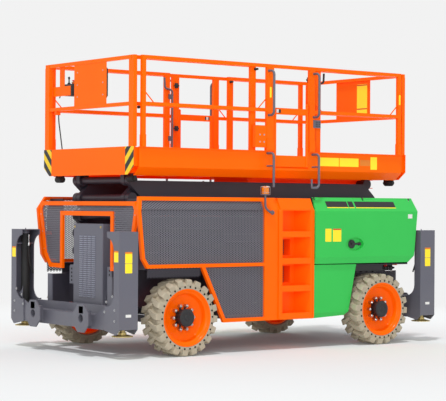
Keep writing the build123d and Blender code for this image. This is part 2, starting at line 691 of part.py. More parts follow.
# Half outlines of a tyre from its middle to the bead: radius, distance from the middle.
side_wall = [(346, 152), (313 * facet_rise, 138), (rim_radius * facet_rise, 130)]
plain_half = [(tread_radius, 3), (tread_radius, 116), (380, 145), *side_wall]
lug_half = [(tread_radius, 3), (tyre_radius, 3), (tyre_radius, 112), (388, 145), *side_wall]


def tyre_segment(number):
    """One flat-sided length of the near front tyre; its lug is outside and inside by turns."""
    outer, inner = (lug_half, plain_half) if number % 2 else (plain_half, lug_half)
    outline = [(r, distance) for r, distance in reversed(inner)] + [(r, -y) for r, y in outer]
    ends = []
    for edge in (number, number + 1):
        angle = radians(edge * facet - 90)
        cut = Plane(origin=(front_x, -tyre_middle_y, tyre_radius),
                    x_dir=(cos(angle), 0, sin(angle)), z_dir=(-sin(angle), 0, cos(angle)))
        with BuildSketch(cut) as end:
            with BuildLine():
                Polyline(*outline, close=True)
            make_face()
        ends.append(end.sketch)
    return loft(ends, ruled=True, mode=Mode.PRIVATE)


with BuildPart() as near_tyre:
    add([tyre_segment(number) for number in range(2 * lug_count)])
rim_profile = [
    (spindle_radius + fit, disc_y), (255, disc_y), (281, 960), (281, 850), (rim_radius - fit, 850),
    (rim_radius - fit, 1119), (312, 1129), (310, 1136), (288, 1134), (281, 1060), (262, disc_y + disc_thickness),
    (hub_cap_radius, disc_y + disc_thickness), (hub_cap_radius, 1108), (hub_cap_radius - 16, 1126),
    (0, 1130), (0, 1052), (spindle_radius + fit, 1052),
]
for axle, x in (("front", front_x), ("rear", rear_x)):
    for word, side in (("near", -1), ("far", 1)):
        with BuildPart() as tyre:
            placed = Pos(x - front_x, 0, 0) * near_tyre.part
            add(placed if side < 0 else placed.mirror(Plane.XZ))
        save(tyre, f"tyre_{axle}_{word}")
        with BuildPart() as rim:
            with BuildSketch(Plane(origin=(x, 0, tyre_radius), x_dir=(1, 0, 0), z_dir=(0, 0, 1))) as half:
                with BuildLine():
                    Polyline(*[(r, side * y) for r, y in rim_profile], close=True)
                make_face()
            revolve(half.sketch, axis=Axis((x, 0, tyre_radius), (0, 1, 0)))
        save(rim, f"rim_{axle}_{word}")

# ============================================================ platform deck
side_profile = [
    (-platform_half_width, toe_top), (-platform_half_width, toe_fold),
    (-side_bottom_y, side_bottom), (-side_bottom_y + 8, side_bottom),
    (-platform_half_width + sheet, toe_fold + 3), (-platform_half_width + sheet, toe_top),
]
lip_y = main_rail_y + rail_tube / 2
deck_joists = [step * (platform_half_length - 30) / 4 for step in range(-4, 5)]
channel_in_y = inner_arm_y - 4 - top_roller_width - 4
channel_out_y = inner_arm_y - moving_gap - 2
channel_low = top_pivot_z - top_roller_radius - track_gap
channel_high = top_pivot_z + top_roller_radius + track_gap
with BuildPart() as deck:
    slab(Plane.YZ.offset(-platform_half_length), side_profile, 2 * platform_half_length)
    block((-platform_half_length, platform_half_length), (-lip_y, -lip_y + rail_tube),
          (toe_top - 8, toe_top))
    block((gate_x[0] - 5, gate_x[1] + 5), (-lip_y - 1, -700), (floor_z + 30, toe_top + 1), Mode.SUBTRACT)
    # Channel of the uppermost rollers, hanging from a rail along the deck.
    slab(Plane.YZ.offset(20), [
        (-channel_in_y + channel_wall, channel_low - channel_wall), (-channel_out_y, channel_low - channel_wall),
        (-channel_out_y, channel_low), (-channel_in_y, channel_low), (-channel_in_y, channel_high),
        (-channel_out_y, channel_high), (-channel_out_y, floor_z), (-channel_in_y + channel_wall, floor_z),
    ], platform_half_length - 20)
    block((-platform_half_length, 20), (-channel_out_y, -channel_in_y + channel_wall),
          (joist_bottom, floor_z))
    # Ears of the uppermost fixed pivots.
    block((-pivot_x - ear_radius, -pivot_x + ear_radius), (-inner_arm_y, -inner_arm_y - arm_width),
          (top_pivot_z, floor_z))
    rod_y(-pivot_x, top_pivot_z, ear_radius, -inner_arm_y, -inner_arm_y - arm_width)
    rod_y(-pivot_x, top_pivot_z, pin_radius + fit, -500, -400, Mode.SUBTRACT)
    mirror(about=Plane.XZ)
    block((-platform_half_length, platform_half_length), (-platform_half_width + sheet, platform_half_width - sheet),
          (floor_z, floor_z + floor_thickness))
    for x in deck_joists:
        block((x - 30, x + 30), (-side_bottom_y + 2, side_bottom_y - 2), (joist_bottom, floor_z))
save(deck, "platform_deck")

with BuildPart() as bumpers:
    for x in (deck_joists[0], deck_joists[-1]):
        rod_y(x, 1925, 22, -655, -812)
        for y in (-655, -800):
            block((x - 12, x + 12), (y, y - 12), (1925, joist_bottom))
    mirror(about=Plane.XZ)
save(bumpers, "bumpers")

# ============================================================ guard rails
post_x = [                   # low x, high x, of each main post
    (-platform_half_length + 23, -platform_half_length + 72),
    (gate_x[0] - 107, gate_x[0] - 7),
    (gate_x[1] + 7, gate_x[1] + 87),
    (platform_half_length - 78, platform_half_length - 28),
]
rail_y = (-main_rail_y - rail_tube / 2, -main_rail_y + rail_tube / 2)
rail_low, rail_high = top_rail_z - rail_tube / 2, top_rail_z + rail_tube / 2
mid_low, mid_high = mid_rail_z - rail_tube / 2, mid_rail_z + rail_tube / 2
hinge_x = gate_x[1] - 16
socket_wall, socket_top = 8, toe_top + 130
gate_pin_radius = 8
gate_tube_radius = 15
gate_lugs = (2290, 2801)     # bottoms of the hinge lugs
with BuildPart() as rails:
    for low, high in post_x:
        block((low, high), rail_y, (toe_top, rail_low))
    block((post_x[0][0], post_x[-1][1]), rail_y, (rail_low, rail_high))
    block((post_x[0][1], post_x[1][0]), rail_y, (mid_low, mid_high))
    block((post_x[2][1], post_x[3][0]), rail_y, (mid_low, mid_high))
    # Sockets that the posts stand in.
    for low, high in post_x:
        block((low, high), (rail_y[0] - socket_wall, rail_y[1] + socket_wall), (toe_top, socket_top))
    # Gusset rods in the corners over the middle rail.
    for x, way in ((post_x[0][1], 1), (post_x[1][0], -1), (post_x[2][1], 1), (post_x[3][0], -1)):
        bar_xz((x, mid_high + 110), (x + way * 110, mid_high), 10, -main_rail_y - 5, -main_rail_y + 5)
    mirror(about=Plane.XZ)
    for side, post, x in ((-1, post_x[2][0], hinge_x), (1, post_x[1][1], gate_x[0] + 16)):
        for z in gate_lugs:
            block((x, post), (side * (main_rail_y - 14), side * (main_rail_y + 14)), (z, z + 12))
            rod_z(x, side * main_rail_y, 14, z, z + 12)
        rod_z(x, side * main_rail_y, gate_pin_radius + fit, 2200, 2900, Mode.SUBTRACT)
    # Document box beside the gate.
    block((post_x[1][0] - 160, post_x[1][0]), (-940, -885), (2300, 2550))
save(rails, "platform_rails")

with BuildPart() as gate:
    rod_z(hinge_x, -main_rail_y, gate_pin_radius, floor_z + 45, gate_lugs[1] + 20)
    for low, high in ((floor_z + 45, gate_lugs[0] - 1), (gate_lugs[0] + 13, gate_lugs[1] - 1)):
        rod_z(hinge_x, -main_rail_y, gate_tube_radius, low, high)
    block((gate_x[0] + 6, hinge_x), (-main_rail_y - 14, -main_rail_y + 14), (2684, 2758))
    block((gate_x[0] + 6, hinge_x), (-main_rail_y - 3, -main_rail_y + 3), (floor_z + 45, 2215))
    block((gate_x[0] + 6, gate_x[0] + 34), (-main_rail_y - 14, -main_rail_y + 14), (floor_z + 45, 2684))
    block((gate_x[0] + 20, gate_x[0] + 90), (-main_rail_y - 20, -main_rail_y - 14), (2700, 2742))
save(gate, "gate_near")

gate_middle = (gate_x[0] + gate_x[1]) / 2
with BuildPart() as gate_far:
    add(gate.part.rotate(Axis((gate_middle, 0, 0), (0, 0, 1)), 180))
save(gate_far, "gate_far")

# ============================================================ grab handles
handle_y = 1045
handle_radius = 14


def bent_tube(points, bend, radius):
    """A round tube along straight runs joined by bends."""
    with BuildLine() as line:
        FilletPolyline(*points, radius=bend)
    start = line.line @ 0
    with BuildSketch(Plane(origin=start, z_dir=line.line % 0)) as ring:
        Circle(radius)
    sweep(ring.sketch, path=line.line)


with BuildPart() as handles:
    for x in (post_x[1][0] + 20, post_x[2][1] - 20):
        bent_tube([(x, -945, 3172), (x, -handle_y, 3172), (x, -handle_y, 2668), (x, -945, 2668)],
                  50, handle_radius)
        foot = [(x, -platform_half_width, 2235), (x, -handle_y, 2235), (x, -handle_y, 1848)]
        if x > 0:
            foot.append((x - 95, -handle_y, 1848))
        bent_tube(foot, 45, handle_radius)
        rod_y(x, 2090, 9, -platform_half_width, -handle_y)
    mirror(about=Plane.XZ)
save(handles, "grab_handles")


# ============================================================ sliding decks
slide_floor_z = floor_z + floor_thickness + 6
slide_side_y = 890
slide_post = 37
panel_z = (mid_high, rail_low)
slides = [                   # name, end away from the middle, inner end, panel y limits
    ("front", -1, 286, (-370, 290)),
    ("rear", 1, 613, (-293, 343)),
]
for name, end, inner, panel_y in slides:
    inner_x, plate_x = end * inner, end * end_plate_x
    corner_x = end * (end_plate_x - 25)
    with BuildPart() as slide_deck:
        block((inner_x, plate_x - end * sheet), (-slide_side_y, slide_side_y),
              (slide_floor_z, slide_floor_z + floor_thickness))
        for side in (-1, 1):
            block((inner_x, plate_x - end * sheet), (side * slide_side_y, side * (slide_side_y + sheet)),
                  (slide_floor_z, toe_top - 4))
            # Slide pads on the main floor.
            for pad_x in (inner_x + end * 60, end * (platform_half_length - 60)):
                block((pad_x, pad_x + end * 50), (side * 800, side * 860),
                      (floor_z + floor_thickness + fit, slide_floor_z))
            block((inner_x, plate_x - end * sheet), (side * (slide_rail_y - 20), side * slide_side_y),
                  (toe_top - 12, toe_top - 4))
        width, (low, high) = platform_half_width, end_plate_z
        outline = [
            (-width, high), (-width, low + 90), (-width + 120, low), (width - 120, low),
            (width, low + 90), (width, high),
        ]
        slab(Plane.YZ.offset(plate_x), outline, -end * sheet)
        block((plate_x - end * sheet, plate_x - end * 24), (-width, width), (high - 8, high))
    save(slide_deck, f"slide_deck_{name}")

    with BuildPart() as slide_rails:
        for side in (-1, 1):
            y = (side * (slide_rail_y - 20), side * (slide_rail_y + 20))
            block((inner_x, inner_x + end * 2 * slide_post), y, (toe_top - 4, rail_low))
            block((corner_x - 24, corner_x + 24), (side * (slide_rail_y - 20), side * (slide_rail_y + 70)),
                  (end_plate_z[1], rail_low))
            for z in ((rail_low, rail_high), (mid_low, mid_high)):
                block((inner_x, corner_x + end * 24), y, z)
        for z in ((rail_low, rail_high), (mid_low, mid_high)):
            block((corner_x - 20, corner_x + 20), (-slide_rail_y - 70, slide_rail_y + 70), z)
        block((plate_x - end * 8, plate_x - end * 12), panel_y, (panel_z[0] - 30, panel_z[1] + 30))
    save(slide_rails, f"slide_rails_{name}")

# Push handles on the inner posts of the sliding decks.
with BuildPart() as push_front:
    x, y = -262, slide_rail_y - 34
    bent_tube([(x - 120, y, 3190), (x - 110, y, 3060), (x, y, 3040), (x, y, 2290)], 36, 12)
    for z in (2420, 2930):
        block((x - 50, x - 2), (y, slide_rail_y - 20), (z, z + 60))
save(push_front, "push_handle_front")

with BuildPart() as push_rear:
    x, y = 690, -slide_rail_y + 34
    bent_tube([(x + 90, y, 3200), (x + 85, y, 3090), (x - 20, y, 3070), (x - 20, y, 2960)], 30, 12)
    block((x - 60, x - 8), (-slide_rail_y + 20, y), (2945, 3100))
save(push_rear, "push_handle_rear")

# ============================================================ platform controls
frame_x = -end_plate_x + 25 + 20         # inner face of the front sliding deck's end frame
gland_x, gland_y = frame_x + 37, 642
with BuildPart() as controls:
    block((frame_x, frame_x + 6), (560, 660), (2880, 3250))
    block((frame_x, frame_x + 6), (430, 800), (2880, 2990))
    block((frame_x + 6, frame_x + 150), (400, 570), (2880, 3010))
    with Locations((frame_x + 80, 485, 3022)):
        Cylinder(22, 24)
    # Clamp under the middle rail and gland on the floor for the control cable.
    block((frame_x - 30, frame_x + 24), (680, 722), (mid_low - 42, mid_low))
    rod_z(gland_x, gland_y, 16, slide_floor_z + floor_thickness, 2080)
save(controls, "control_box")

cable_diameter = 14
cable_route = [
    (frame_x + 12, 700, mid_low - 42), (frame_x + 12, 700, 2600), (frame_x + 24, 690, 2490),
    (frame_x + 30, 672, 2372), (frame_x + 34, 652, 2258), (gland_x, gland_y, 2160),
    (gland_x, gland_y, 2080),
]
cable_points = [Vector(*p) for p in cable_route]
bends = []
for before, at, after in zip(cable_points, cable_points[1:], cable_points[2:]):
    turn = radians((at - before).get_angle(after - at))
    shorter = min((at - before).length, (after - at).length)
    bends.append(0.45 * shorter * cos(turn / 2) / sin(turn / 2))
print("cable bend radii", [round(bend) for bend in bends])
with BuildPart() as cable:
    with BuildLine() as cable_line:
        FilletPolyline(*cable_points, radius=bends)
    with BuildSketch(Plane(origin=cable_line.line @ 0, z_dir=cable_line.line % 0)):
        Circle(cable_diameter / 2)
    sweep(path=cable_line.line)
save(cable, "control_cable")
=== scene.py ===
"""The looks of a four-wheel-drive scissor lift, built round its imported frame.

Metres, +Z up, +X towards the green hoods, -Y towards the camera's side.
Repeated fittings come from Geometry Nodes; each becomes a plain mesh.
"""

import math

import bmesh
import bpy
from mathutils import Matrix, Vector


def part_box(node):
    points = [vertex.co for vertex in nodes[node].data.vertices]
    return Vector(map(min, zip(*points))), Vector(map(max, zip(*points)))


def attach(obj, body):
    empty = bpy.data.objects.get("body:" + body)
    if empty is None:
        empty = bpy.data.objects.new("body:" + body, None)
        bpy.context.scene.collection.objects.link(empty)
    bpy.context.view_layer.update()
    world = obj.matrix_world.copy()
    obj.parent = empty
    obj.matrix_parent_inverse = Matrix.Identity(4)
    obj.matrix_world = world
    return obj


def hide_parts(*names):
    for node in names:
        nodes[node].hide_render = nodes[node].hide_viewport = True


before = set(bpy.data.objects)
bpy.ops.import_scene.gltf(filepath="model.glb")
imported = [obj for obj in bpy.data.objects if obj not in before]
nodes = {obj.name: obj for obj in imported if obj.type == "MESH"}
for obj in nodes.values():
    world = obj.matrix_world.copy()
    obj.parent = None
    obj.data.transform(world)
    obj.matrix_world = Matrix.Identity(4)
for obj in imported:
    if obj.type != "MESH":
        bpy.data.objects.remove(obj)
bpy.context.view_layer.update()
SIDES = ((-1, "near"), (1, "far"))
ENDS = ((-1, "front"), (1, "rear"))
CORNERS = [(end, side) for end, _ in ENDS for side, _ in SIDES]


def linked(name, data):
    """An object that shows some data, in the scene."""
    made = bpy.data.objects.new(name, data)
    bpy.context.scene.collection.objects.link(made)
    return made


# ------------------------------------------------------------ camera
camera_data = bpy.data.cameras.new("camera")
camera_data.lens = 130.8
camera_data.sensor_width = 36.0
camera_data.shift_y = 0.0128
camera = linked("camera", camera_data)
ahead = Vector((0.6065, 0.7951, 0.0)).normalized()
level = Vector((ahead.y, -ahead.x, 0.0))
lean = math.radians(0.35)
right = level * math.cos(lean) + Vector((0, 0, 1)) * math.sin(lean)
upward = right.cross(ahead)
camera.matrix_world = Matrix((
    (right.x, upward.x, -ahead.x, -11.751),
    (right.y, upward.y, -ahead.y, -15.288),
    (right.z, upward.z, -ahead.z, 1.629),
    (0, 0, 0, 1),
))
bpy.context.scene.camera = camera
bpy.context.scene.view_settings.view_transform = "Standard"


# ------------------------------------------------------------ materials
def colour(code):
    """An sRGB hex colour as the linear values that a shader takes."""
    parts = [int(code[i:i + 2], 16) / 255 for i in (1, 3, 5)]
    return [v / 12.92 if v <= 0.04045 else ((v + 0.055) / 1.055) ** 2.4 for v in parts] + [1.0]


def add_node(tree, kind, inputs=None, **settings):
    """A node with its settings; each input is a value or the socket that feeds it."""
    made = tree.nodes.new(kind)
    for name, value in settings.items():
        setattr(made, name, value)
    for name, value in (inputs or {}).items():
        socket = made.inputs[name]
        if isinstance(value, bpy.types.NodeSocket):
            tree.links.new(value, socket)
        else:
            socket.default_value = value
    return made


def maths(tree, operation, first, second):
    """The socket of a sum on two numbers or sockets."""
    return add_node(tree, "ShaderNodeMath", {0: first, 1: second}, operation=operation).outputs["Value"]


def bare_tree(block):
    """The node tree of a material or a world, emptied."""
    block.use_nodes = True
    block.node_tree.nodes.clear()
    return block.node_tree


def finish_of(name, base, rough, shade, grain_mm, grain_depth, metallic=0.0, coat=0.0, dust=None,
              patch_mm=600.0, rough_spread=0.06, painted_glow=0.0, sheen_level=0.5, painted_glow_tone=None):
    """A finish: a base colour that drifts a little in patches, a fine surface grain, and dust low down.

    shade is the second colour of the patches, grain_mm the size of the surface's own texture and
    grain_depth its height in millimetres.  dust is the colour that collects under 0.7 m, and
    sheen_level how strongly the bare surface mirrors its surroundings."""
    made = bpy.data.materials.new(name)
    tree = bare_tree(made)
    place = add_node(tree, "ShaderNodeTexCoord").outputs["Object"]
    patches = add_node(tree, "ShaderNodeTexNoise", {
        "Vector": place, "Scale": 1000.0 / patch_mm, "Detail": 3.0, "Roughness": 0.55})
    tone = add_node(tree, "ShaderNodeMix", {
        0: patches.outputs["Fac"], "A": colour(base), "B": colour(shade)}, data_type="RGBA")
    surface = tone.outputs["Result"]
    if dust:
        height = add_node(tree, "ShaderNodeSeparateXYZ", {"Vector": place}).outputs["Z"]
        low = add_node(tree, "ShaderNodeMapRange", {
            "Value": height, "From Min": 0.0, "From Max": 0.75, "To Min": 0.30, "To Max": 0.0})
        specks = add_node(tree, "ShaderNodeTexNoise", {
            "Vector": place, "Scale": 1000.0 / 60.0, "Detail": 5.0, "Roughness": 0.7})
        amount = maths(tree, "MULTIPLY", low.outputs["Result"], specks.outputs["Fac"])
        surface = add_node(tree, "ShaderNodeMix", {
            0: amount, "A": surface, "B": colour(dust)}, data_type="RGBA").outputs["Result"]
    grain = add_node(tree, "ShaderNodeTexNoise", {
        "Vector": place, "Scale": 1000.0 / grain_mm, "Detail": 2.0, "Roughness": 0.5})
    bump = add_node(tree, "ShaderNodeBump", {
        "Height": grain.outputs["Fac"], "Strength": 1.0, "Distance": grain_depth / 1000.0})
    gloss = add_node(tree, "ShaderNodeMapRange", {
        "Value": patches.outputs["Fac"], "To Min": rough - rough_spread, "To Max": rough + rough_spread})
    shader = add_node(tree, "ShaderNodeBsdfPrincipled", {
        "Base Color": surface, "Metallic": metallic, "Roughness": gloss.outputs["Result"],
        "Normal": bump.outputs["Normal"], "Specular IOR Level": sheen_level,
        "Coat Weight": coat, "Coat Roughness": 0.12})
    # A glow is light that the surface gives off of its own: painted light that lifts its shade.
    if painted_glow:
        shader.inputs["Emission Color"].default_value = colour(painted_glow_tone or base)
        shader.inputs["Emission Strength"].default_value = painted_glow
    add_node(tree, "ShaderNodeOutputMaterial", {"Surface": shader.outputs["BSDF"]})
    return made


# Polyurethane enamel sprayed on steel: even, glossy, with a faint 4 mm orange peel.
# The orange gives off a faint red glow of its own: painted light that lifts its shaded faces towards red.
ORANGE = finish_of("orange_enamel", "#FF7300", 0.34, "#FF6B00", 4.0, 0.05, coat=0.04, sheen_level=0.10,
                   painted_glow=0.15, painted_glow_tone="#FF2A00")
GREEN = finish_of("green_enamel", "#38D25A", 0.32, "#30C852", 4.0, 0.05, coat=0.1, sheen_level=0.3)
GREY = finish_of("grey_enamel", "#696975", 0.42, "#60606C", 4.0, 0.05, coat=0.1, dust="#8E887E")
# Louvre hoods, painted paler than the cabinet: a painted highlight for the light that they catch.
LOUVRE_HIGHLIGHT_GREY = finish_of("louvre_grey_painted_highlight", "#A6A8B8", 0.35, "#9A9CAC", 4.0, 0.05, coat=0.2)
DARK = finish_of("dark_enamel", "#3A3842", 0.45, "#322F3A", 5.0, 0.06, dust="#6E6860")
# Powder-coated expanded and punched sheet: matt, a little darker than the frames.
MESH_GREY = finish_of("charcoal_powder_coat", "#7B7A83", 0.55, "#6F6E77", 1.5, 0.08)
# Hard chrome on ground steel: nearly a mirror, with drawn marks finer than the grain used here.
CHROME = finish_of("hard_chrome", "#D8D9DC", 0.12, "#CFD0D4", 1.0, 0.01, metallic=1.0, rough_spread=0.03)
# Bright zinc on bolts and nuts: pale, slightly cloudy metal.
ZINC = finish_of("bright_zinc", "#C9CACB", 0.32, "#B4B6B8", 2.0, 0.03, metallic=1.0, patch_mm=20)
# Yellow chromate over zinc on the jack feet: straw-coloured, cloudy metal.
YELLOW_ZINC = finish_of("yellow_chromate_zinc", "#D8C27A", 0.40, "#C2AE74", 3.0, 0.05, metallic=0.7,
                        patch_mm=60, dust="#8E887E")
# Non-marking solid rubber: beige-grey filled compound with a moulded 2 mm skin texture.
TYRE_RUBBER = finish_of("non_marking_rubber", "#BFB49E", 0.80, "#AEA38D", 2.5, 0.5, patch_mm=90,
                        dust="#CDBFA5")
BLACK_RUBBER = finish_of("black_rubber", "#1A1A1B", 0.75, "#222223", 2.0, 0.2)
# Moulded ABS and nylon: spark-eroded 1 mm grain.
BLACK_PLASTIC = finish_of("moulded_black_nylon", "#1D1D20", 0.5, "#242428", 1.2, 0.06)
RED_PLASTIC = finish_of("moulded_red_abs", "#D8140F", 0.3, "#C9100C", 1.2, 0.03)
YELLOW_PLASTIC = finish_of("moulded_yellow_abs", "#F5C400", 0.35, "#EDBB00", 1.2, 0.03)
CABLE_SHEATH = finish_of("cable_sheath_pvc", "#141416", 0.5, "#1B1B1D", 1.0, 0.05)
# Printed vinyl film, laminated: smooth, with the faintest ripple of the glue under it.
# The yellow film glows a little of its own: painted light that keeps it bright in the shade.
YELLOW_FILM = finish_of("yellow_vinyl_film", "#FFE326", 0.38, "#FADA1C", 30.0, 0.04, painted_glow=0.22)
WHITE_FILM = finish_of("white_vinyl_film", "#F4F4F0", 0.38, "#ECECE8", 30.0, 0.04)
ORANGE_FILM = finish_of("orange_vinyl_film", "#F58A1C", 0.38, "#F08012", 30.0, 0.04)
RED_FILM = finish_of("red_vinyl_film", "#E0281C", 0.38, "#D82216", 30.0, 0.04)
BLACK_FILM = finish_of("black_vinyl_film", "#17171A", 0.36, "#1D1D20", 30.0, 0.04)
# Amber polycarbonate lens over a dark lamp: deep, glossy, with a faint glow of its own: painted light, as if
# the lamp were lit.
AMBER = finish_of("amber_polycarbonate", "#F08A10", 0.12, "#E07A06", 8.0, 0.02, coat=0.6, painted_glow=0.15)
# Near-black discs over holes and hollows: painted shade for the shadow inside them.
HOLE_SHADE = finish_of("painted_hole_shade", "#101012", 0.9, "#151517", 3.0, 0.05)


def stripes_of(name, turn, pitch_mm):
    """Black and yellow safety film in slanted bands; turn is the slope about X, pitch_mm the repeat."""
    made = bpy.data.materials.new(name)
    tree = bare_tree(made)
    place = add_node(tree, "ShaderNodeTexCoord").outputs["Object"]
    turned = add_node(tree, "ShaderNodeMapping", {"Vector": place, "Rotation": (turn, 0, 0)})
    across = add_node(tree, "ShaderNodeSeparateXYZ", {"Vector": turned.outputs["Vector"]})
    repeat = maths(tree, "DIVIDE", across.outputs["Y"], pitch_mm / 1000.0)
    part = add_node(tree, "ShaderNodeMath", {0: repeat}, operation="FRACT").outputs["Value"]
    band = maths(tree, "GREATER_THAN", part, 0.5)
    tone = add_node(tree, "ShaderNodeMix", {
        0: band, "A": colour("#FFD400"), "B": colour("#17171A")}, data_type="RGBA")
    ripple = add_node(tree, "ShaderNodeTexNoise", {"Vector": place, "Scale": 1000.0 / 30.0})
    bump = add_node(tree, "ShaderNodeBump", {"Height": ripple.outputs["Fac"], "Distance": 0.00004})
    shader = add_node(tree, "ShaderNodeBsdfPrincipled", {
        "Base Color": tone.outputs["Result"], "Roughness": 0.38, "Normal": bump.outputs["Normal"]})
    add_node(tree, "ShaderNodeOutputMaterial", {"Surface": shader.outputs["BSDF"]})
    return made


STRIPES_RISING = stripes_of("striped_safety_film_rising", math.radians(45), 116.0)
STRIPES_FALLING = stripes_of("striped_safety_film_falling", math.radians(-45), 116.0)


def checker_plate():
    """Deck plate: orange enamel over raised round bosses, 30 mm apart on a grid turned by 45 degrees."""
    made = finish_of("chequer_plate_enamel", "#EC6A12", 0.5, "#DE600C", 4.0, 0.05)
    tree = made.node_tree
    place = add_node(tree, "ShaderNodeTexCoord").outputs["Object"]
    scaled = add_node(tree, "ShaderNodeMapping", {
        "Vector": place, "Scale": (1000 / 30.0, 1000 / 30.0, 0.0), "Rotation": (0, 0, math.radians(45))})
    bars = add_node(tree, "ShaderNodeTexVoronoi", {"Vector": scaled.outputs["Vector"], "Randomness": 0.0})
    raised = add_node(tree, "ShaderNodeMapRange", {
        "Value": bars.outputs["Distance"], "From Min": 0.18, "From Max": 0.30, "To Min": 1.0, "To Max": 0.0})
    shader = next(n for n in tree.nodes if n.type == "BSDF_PRINCIPLED")
    under = shader.inputs["Normal"].links[0].from_socket
    bump = add_node(tree, "ShaderNodeBump", {
        "Height": raised.outputs["Result"], "Distance": 0.0015, "Normal": under})
    tree.links.new(bump.outputs["Normal"], shader.inputs["Normal"])
    return made


CHEQUER = checker_plate()

NODE_FINISH = {              # finish, then the nodes that wear it
    ORANGE: ("guards", "ladders", "platform_deck", "platform_rails", "slide_deck_front",
             "slide_deck_rear", "slide_rails_front", "slide_rails_rear", "gate_near", "gate_far",
             "control_box",
             "rim_front_near", "rim_front_far", "rim_rear_near", "rim_rear_far"),
    GREEN: ("hood_near", "hood_far", "lower_covers"),
    GREY: ("louvred_cabinet", "outrigger_beam_front", "outrigger_beam_rear",
           "outrigger_legs_front", "outrigger_legs_rear", "grab_handles", "push_handle_front"),
    CHROME: ("lift_rod_1", "lift_rod_2", "steering_rod"),
    YELLOW_ZINC: ("jack_foot_front_near", "jack_foot_front_far", "jack_foot_rear_near",
                  "jack_foot_rear_far"),
    TYRE_RUBBER: ("tyre_front_near", "tyre_front_far", "tyre_rear_near", "tyre_rear_far"),
    BLACK_RUBBER: ("bumpers",),
    BLACK_PLASTIC: ("push_handle_rear", "power_units"),
}
finish_by_node = {name: finish for finish, names in NODE_FINISH.items() for name in names}
for name, cad in nodes.items():
    finish = finish_by_node.get(name, DARK)
    if cad.data.materials:
        for i in range(len(cad.data.materials)):
            cad.data.materials[i] = finish
    else:
        cad.data.materials.append(finish)


# ------------------------------------------------------------ shapes
def keep(name, mesh_maker, body, finish):
    """A piece from a bmesh that mesh_maker fills at once, riding on a CAD body."""
    shape = bmesh.new()
    mesh_maker(shape)
    bmesh.ops.remove_doubles(shape, verts=shape.verts, dist=0.00001)
    bmesh.ops.recalc_face_normals(shape, faces=shape.faces)
    mesh = bpy.data.meshes.new(name)
    shape.to_mesh(mesh)
    shape.free()
    piece = linked(name, mesh)
    mesh.materials.append(finish)
    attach(piece, body)
    return piece


def box_in(shape, low, high, bevel=0.0):
    """A box between two corners, with its edges rounded over."""
    low, high = [min(a, b) for a, b in zip(low, high)], [max(a, b) for a, b in zip(low, high)]
    middle = [(a + b) / 2 for a, b in zip(low, high)]
    size = [b - a for a, b in zip(low, high)]
    made = bmesh.ops.create_cube(shape, size=1.0, matrix=Matrix.Translation(middle)
                                 @ Matrix.Diagonal((*size, 1.0)))
    if bevel:
        edges = {e for v in made["verts"] for e in v.link_edges}
        bmesh.ops.bevel(shape, geom=list(edges), offset=bevel, segments=2, affect="EDGES", profile=0.5)


def plate_in(shape, outline, thickness, frame_matrix):
    """A flat plate: an outline in the XY plane of frame_matrix, grown along its Z."""
    verts = [shape.verts.new(frame_matrix @ Vector((x, y, 0))) for x, y in outline]
    face = shape.faces.new(verts)
    grown = bmesh.ops.extrude_face_region(shape, geom=[face])["geom"]
    step = frame_matrix.to_3x3() @ Vector((0, 0, thickness))
    bmesh.ops.translate(shape, verts=[g for g in grown if isinstance(g, bmesh.types.BMVert)], vec=step)


def turned_in(shape, profile, centre, axis, steps=32, ring=False):
    """A round piece: (radius, distance along the axis) points spun about an axis.

    With ring the last point joins the first, as on a tyre; otherwise open ends are capped."""
    turn = Vector((0, 0, 1)).rotation_difference(Vector(axis)).to_matrix()
    rings = []
    for radius, along in profile:
        if radius < 1e-6:
            rings.append([shape.verts.new(Vector(centre) + turn @ Vector((0, 0, along)))])
            continue
        rings.append([
            shape.verts.new(Vector(centre) + turn @ Vector((
                radius * math.cos(2 * math.pi * k / steps), radius * math.sin(2 * math.pi * k / steps),
                along))) for k in range(steps)])
    for a, b in zip(rings, rings[1:] + rings[:1] if ring else rings[1:]):
        for k in range(steps):
            n = (k + 1) % steps
            if len(a) == 1 and len(b) == 1:
                break
            if len(a) == 1:
                shape.faces.new((a[0], b[k], b[n]))
            elif len(b) == 1:
                shape.faces.new((a[k], b[0], a[n]))
            else:
                shape.faces.new((a[k], b[k], b[n], a[n]))
    for end in () if ring else (rings[0], rings[-1]):
        if len(end) > 1:
            shape.faces.new(end)


def skin(shape, rings):
    """Faces between neighbouring rings of as many points, and a face over each end."""
    for a, b in zip(rings, rings[1:]):
        for k in range(len(a)):
            n = (k + 1) % len(a)
            shape.faces.new((a[k], b[k], b[n], a[n]))
    shape.faces.new(rings[0])
    shape.faces.new(rings[-1])


def tube_in(shape, points, radius, steps=10, bends=6):
    """A bent tube through points, its corners rounded by short arcs."""
    path = [Vector(points[0])]
    for before, at, after in zip(points, points[1:], points[2:]):
        before, at, after = Vector(before), Vector(at), Vector(after)
        reach = 0.42 * min((at - before).length, (after - at).length, 8 * radius)
        first, last = at + (before - at).normalized() * reach, at + (after - at).normalized() * reach
        for k in range(bends + 1):
            t = k / bends
            path.append(first * (1 - t) ** 2 + at * 2 * t * (1 - t) + last * t ** 2)
    path.append(Vector(points[-1]))
    way = (path[1] - path[0]).normalized()
    across = way.orthogonal().normalized()
    rings = []
    for i, point in enumerate(path):
        a = path[max(i - 1, 0)]
        b = path[min(i + 1, len(path) - 1)]
        new_way = (b - a).normalized()
        across = (way.rotation_difference(new_way).to_matrix() @ across).normalized()
        way = new_way
        other = way.cross(across)
        rings.append([
            shape.verts.new(point + radius * (math.cos(2 * math.pi * k / steps) * across
                                              + math.sin(2 * math.pi * k / steps) * other))
            for k in range(steps)])
    skin(shape, rings)


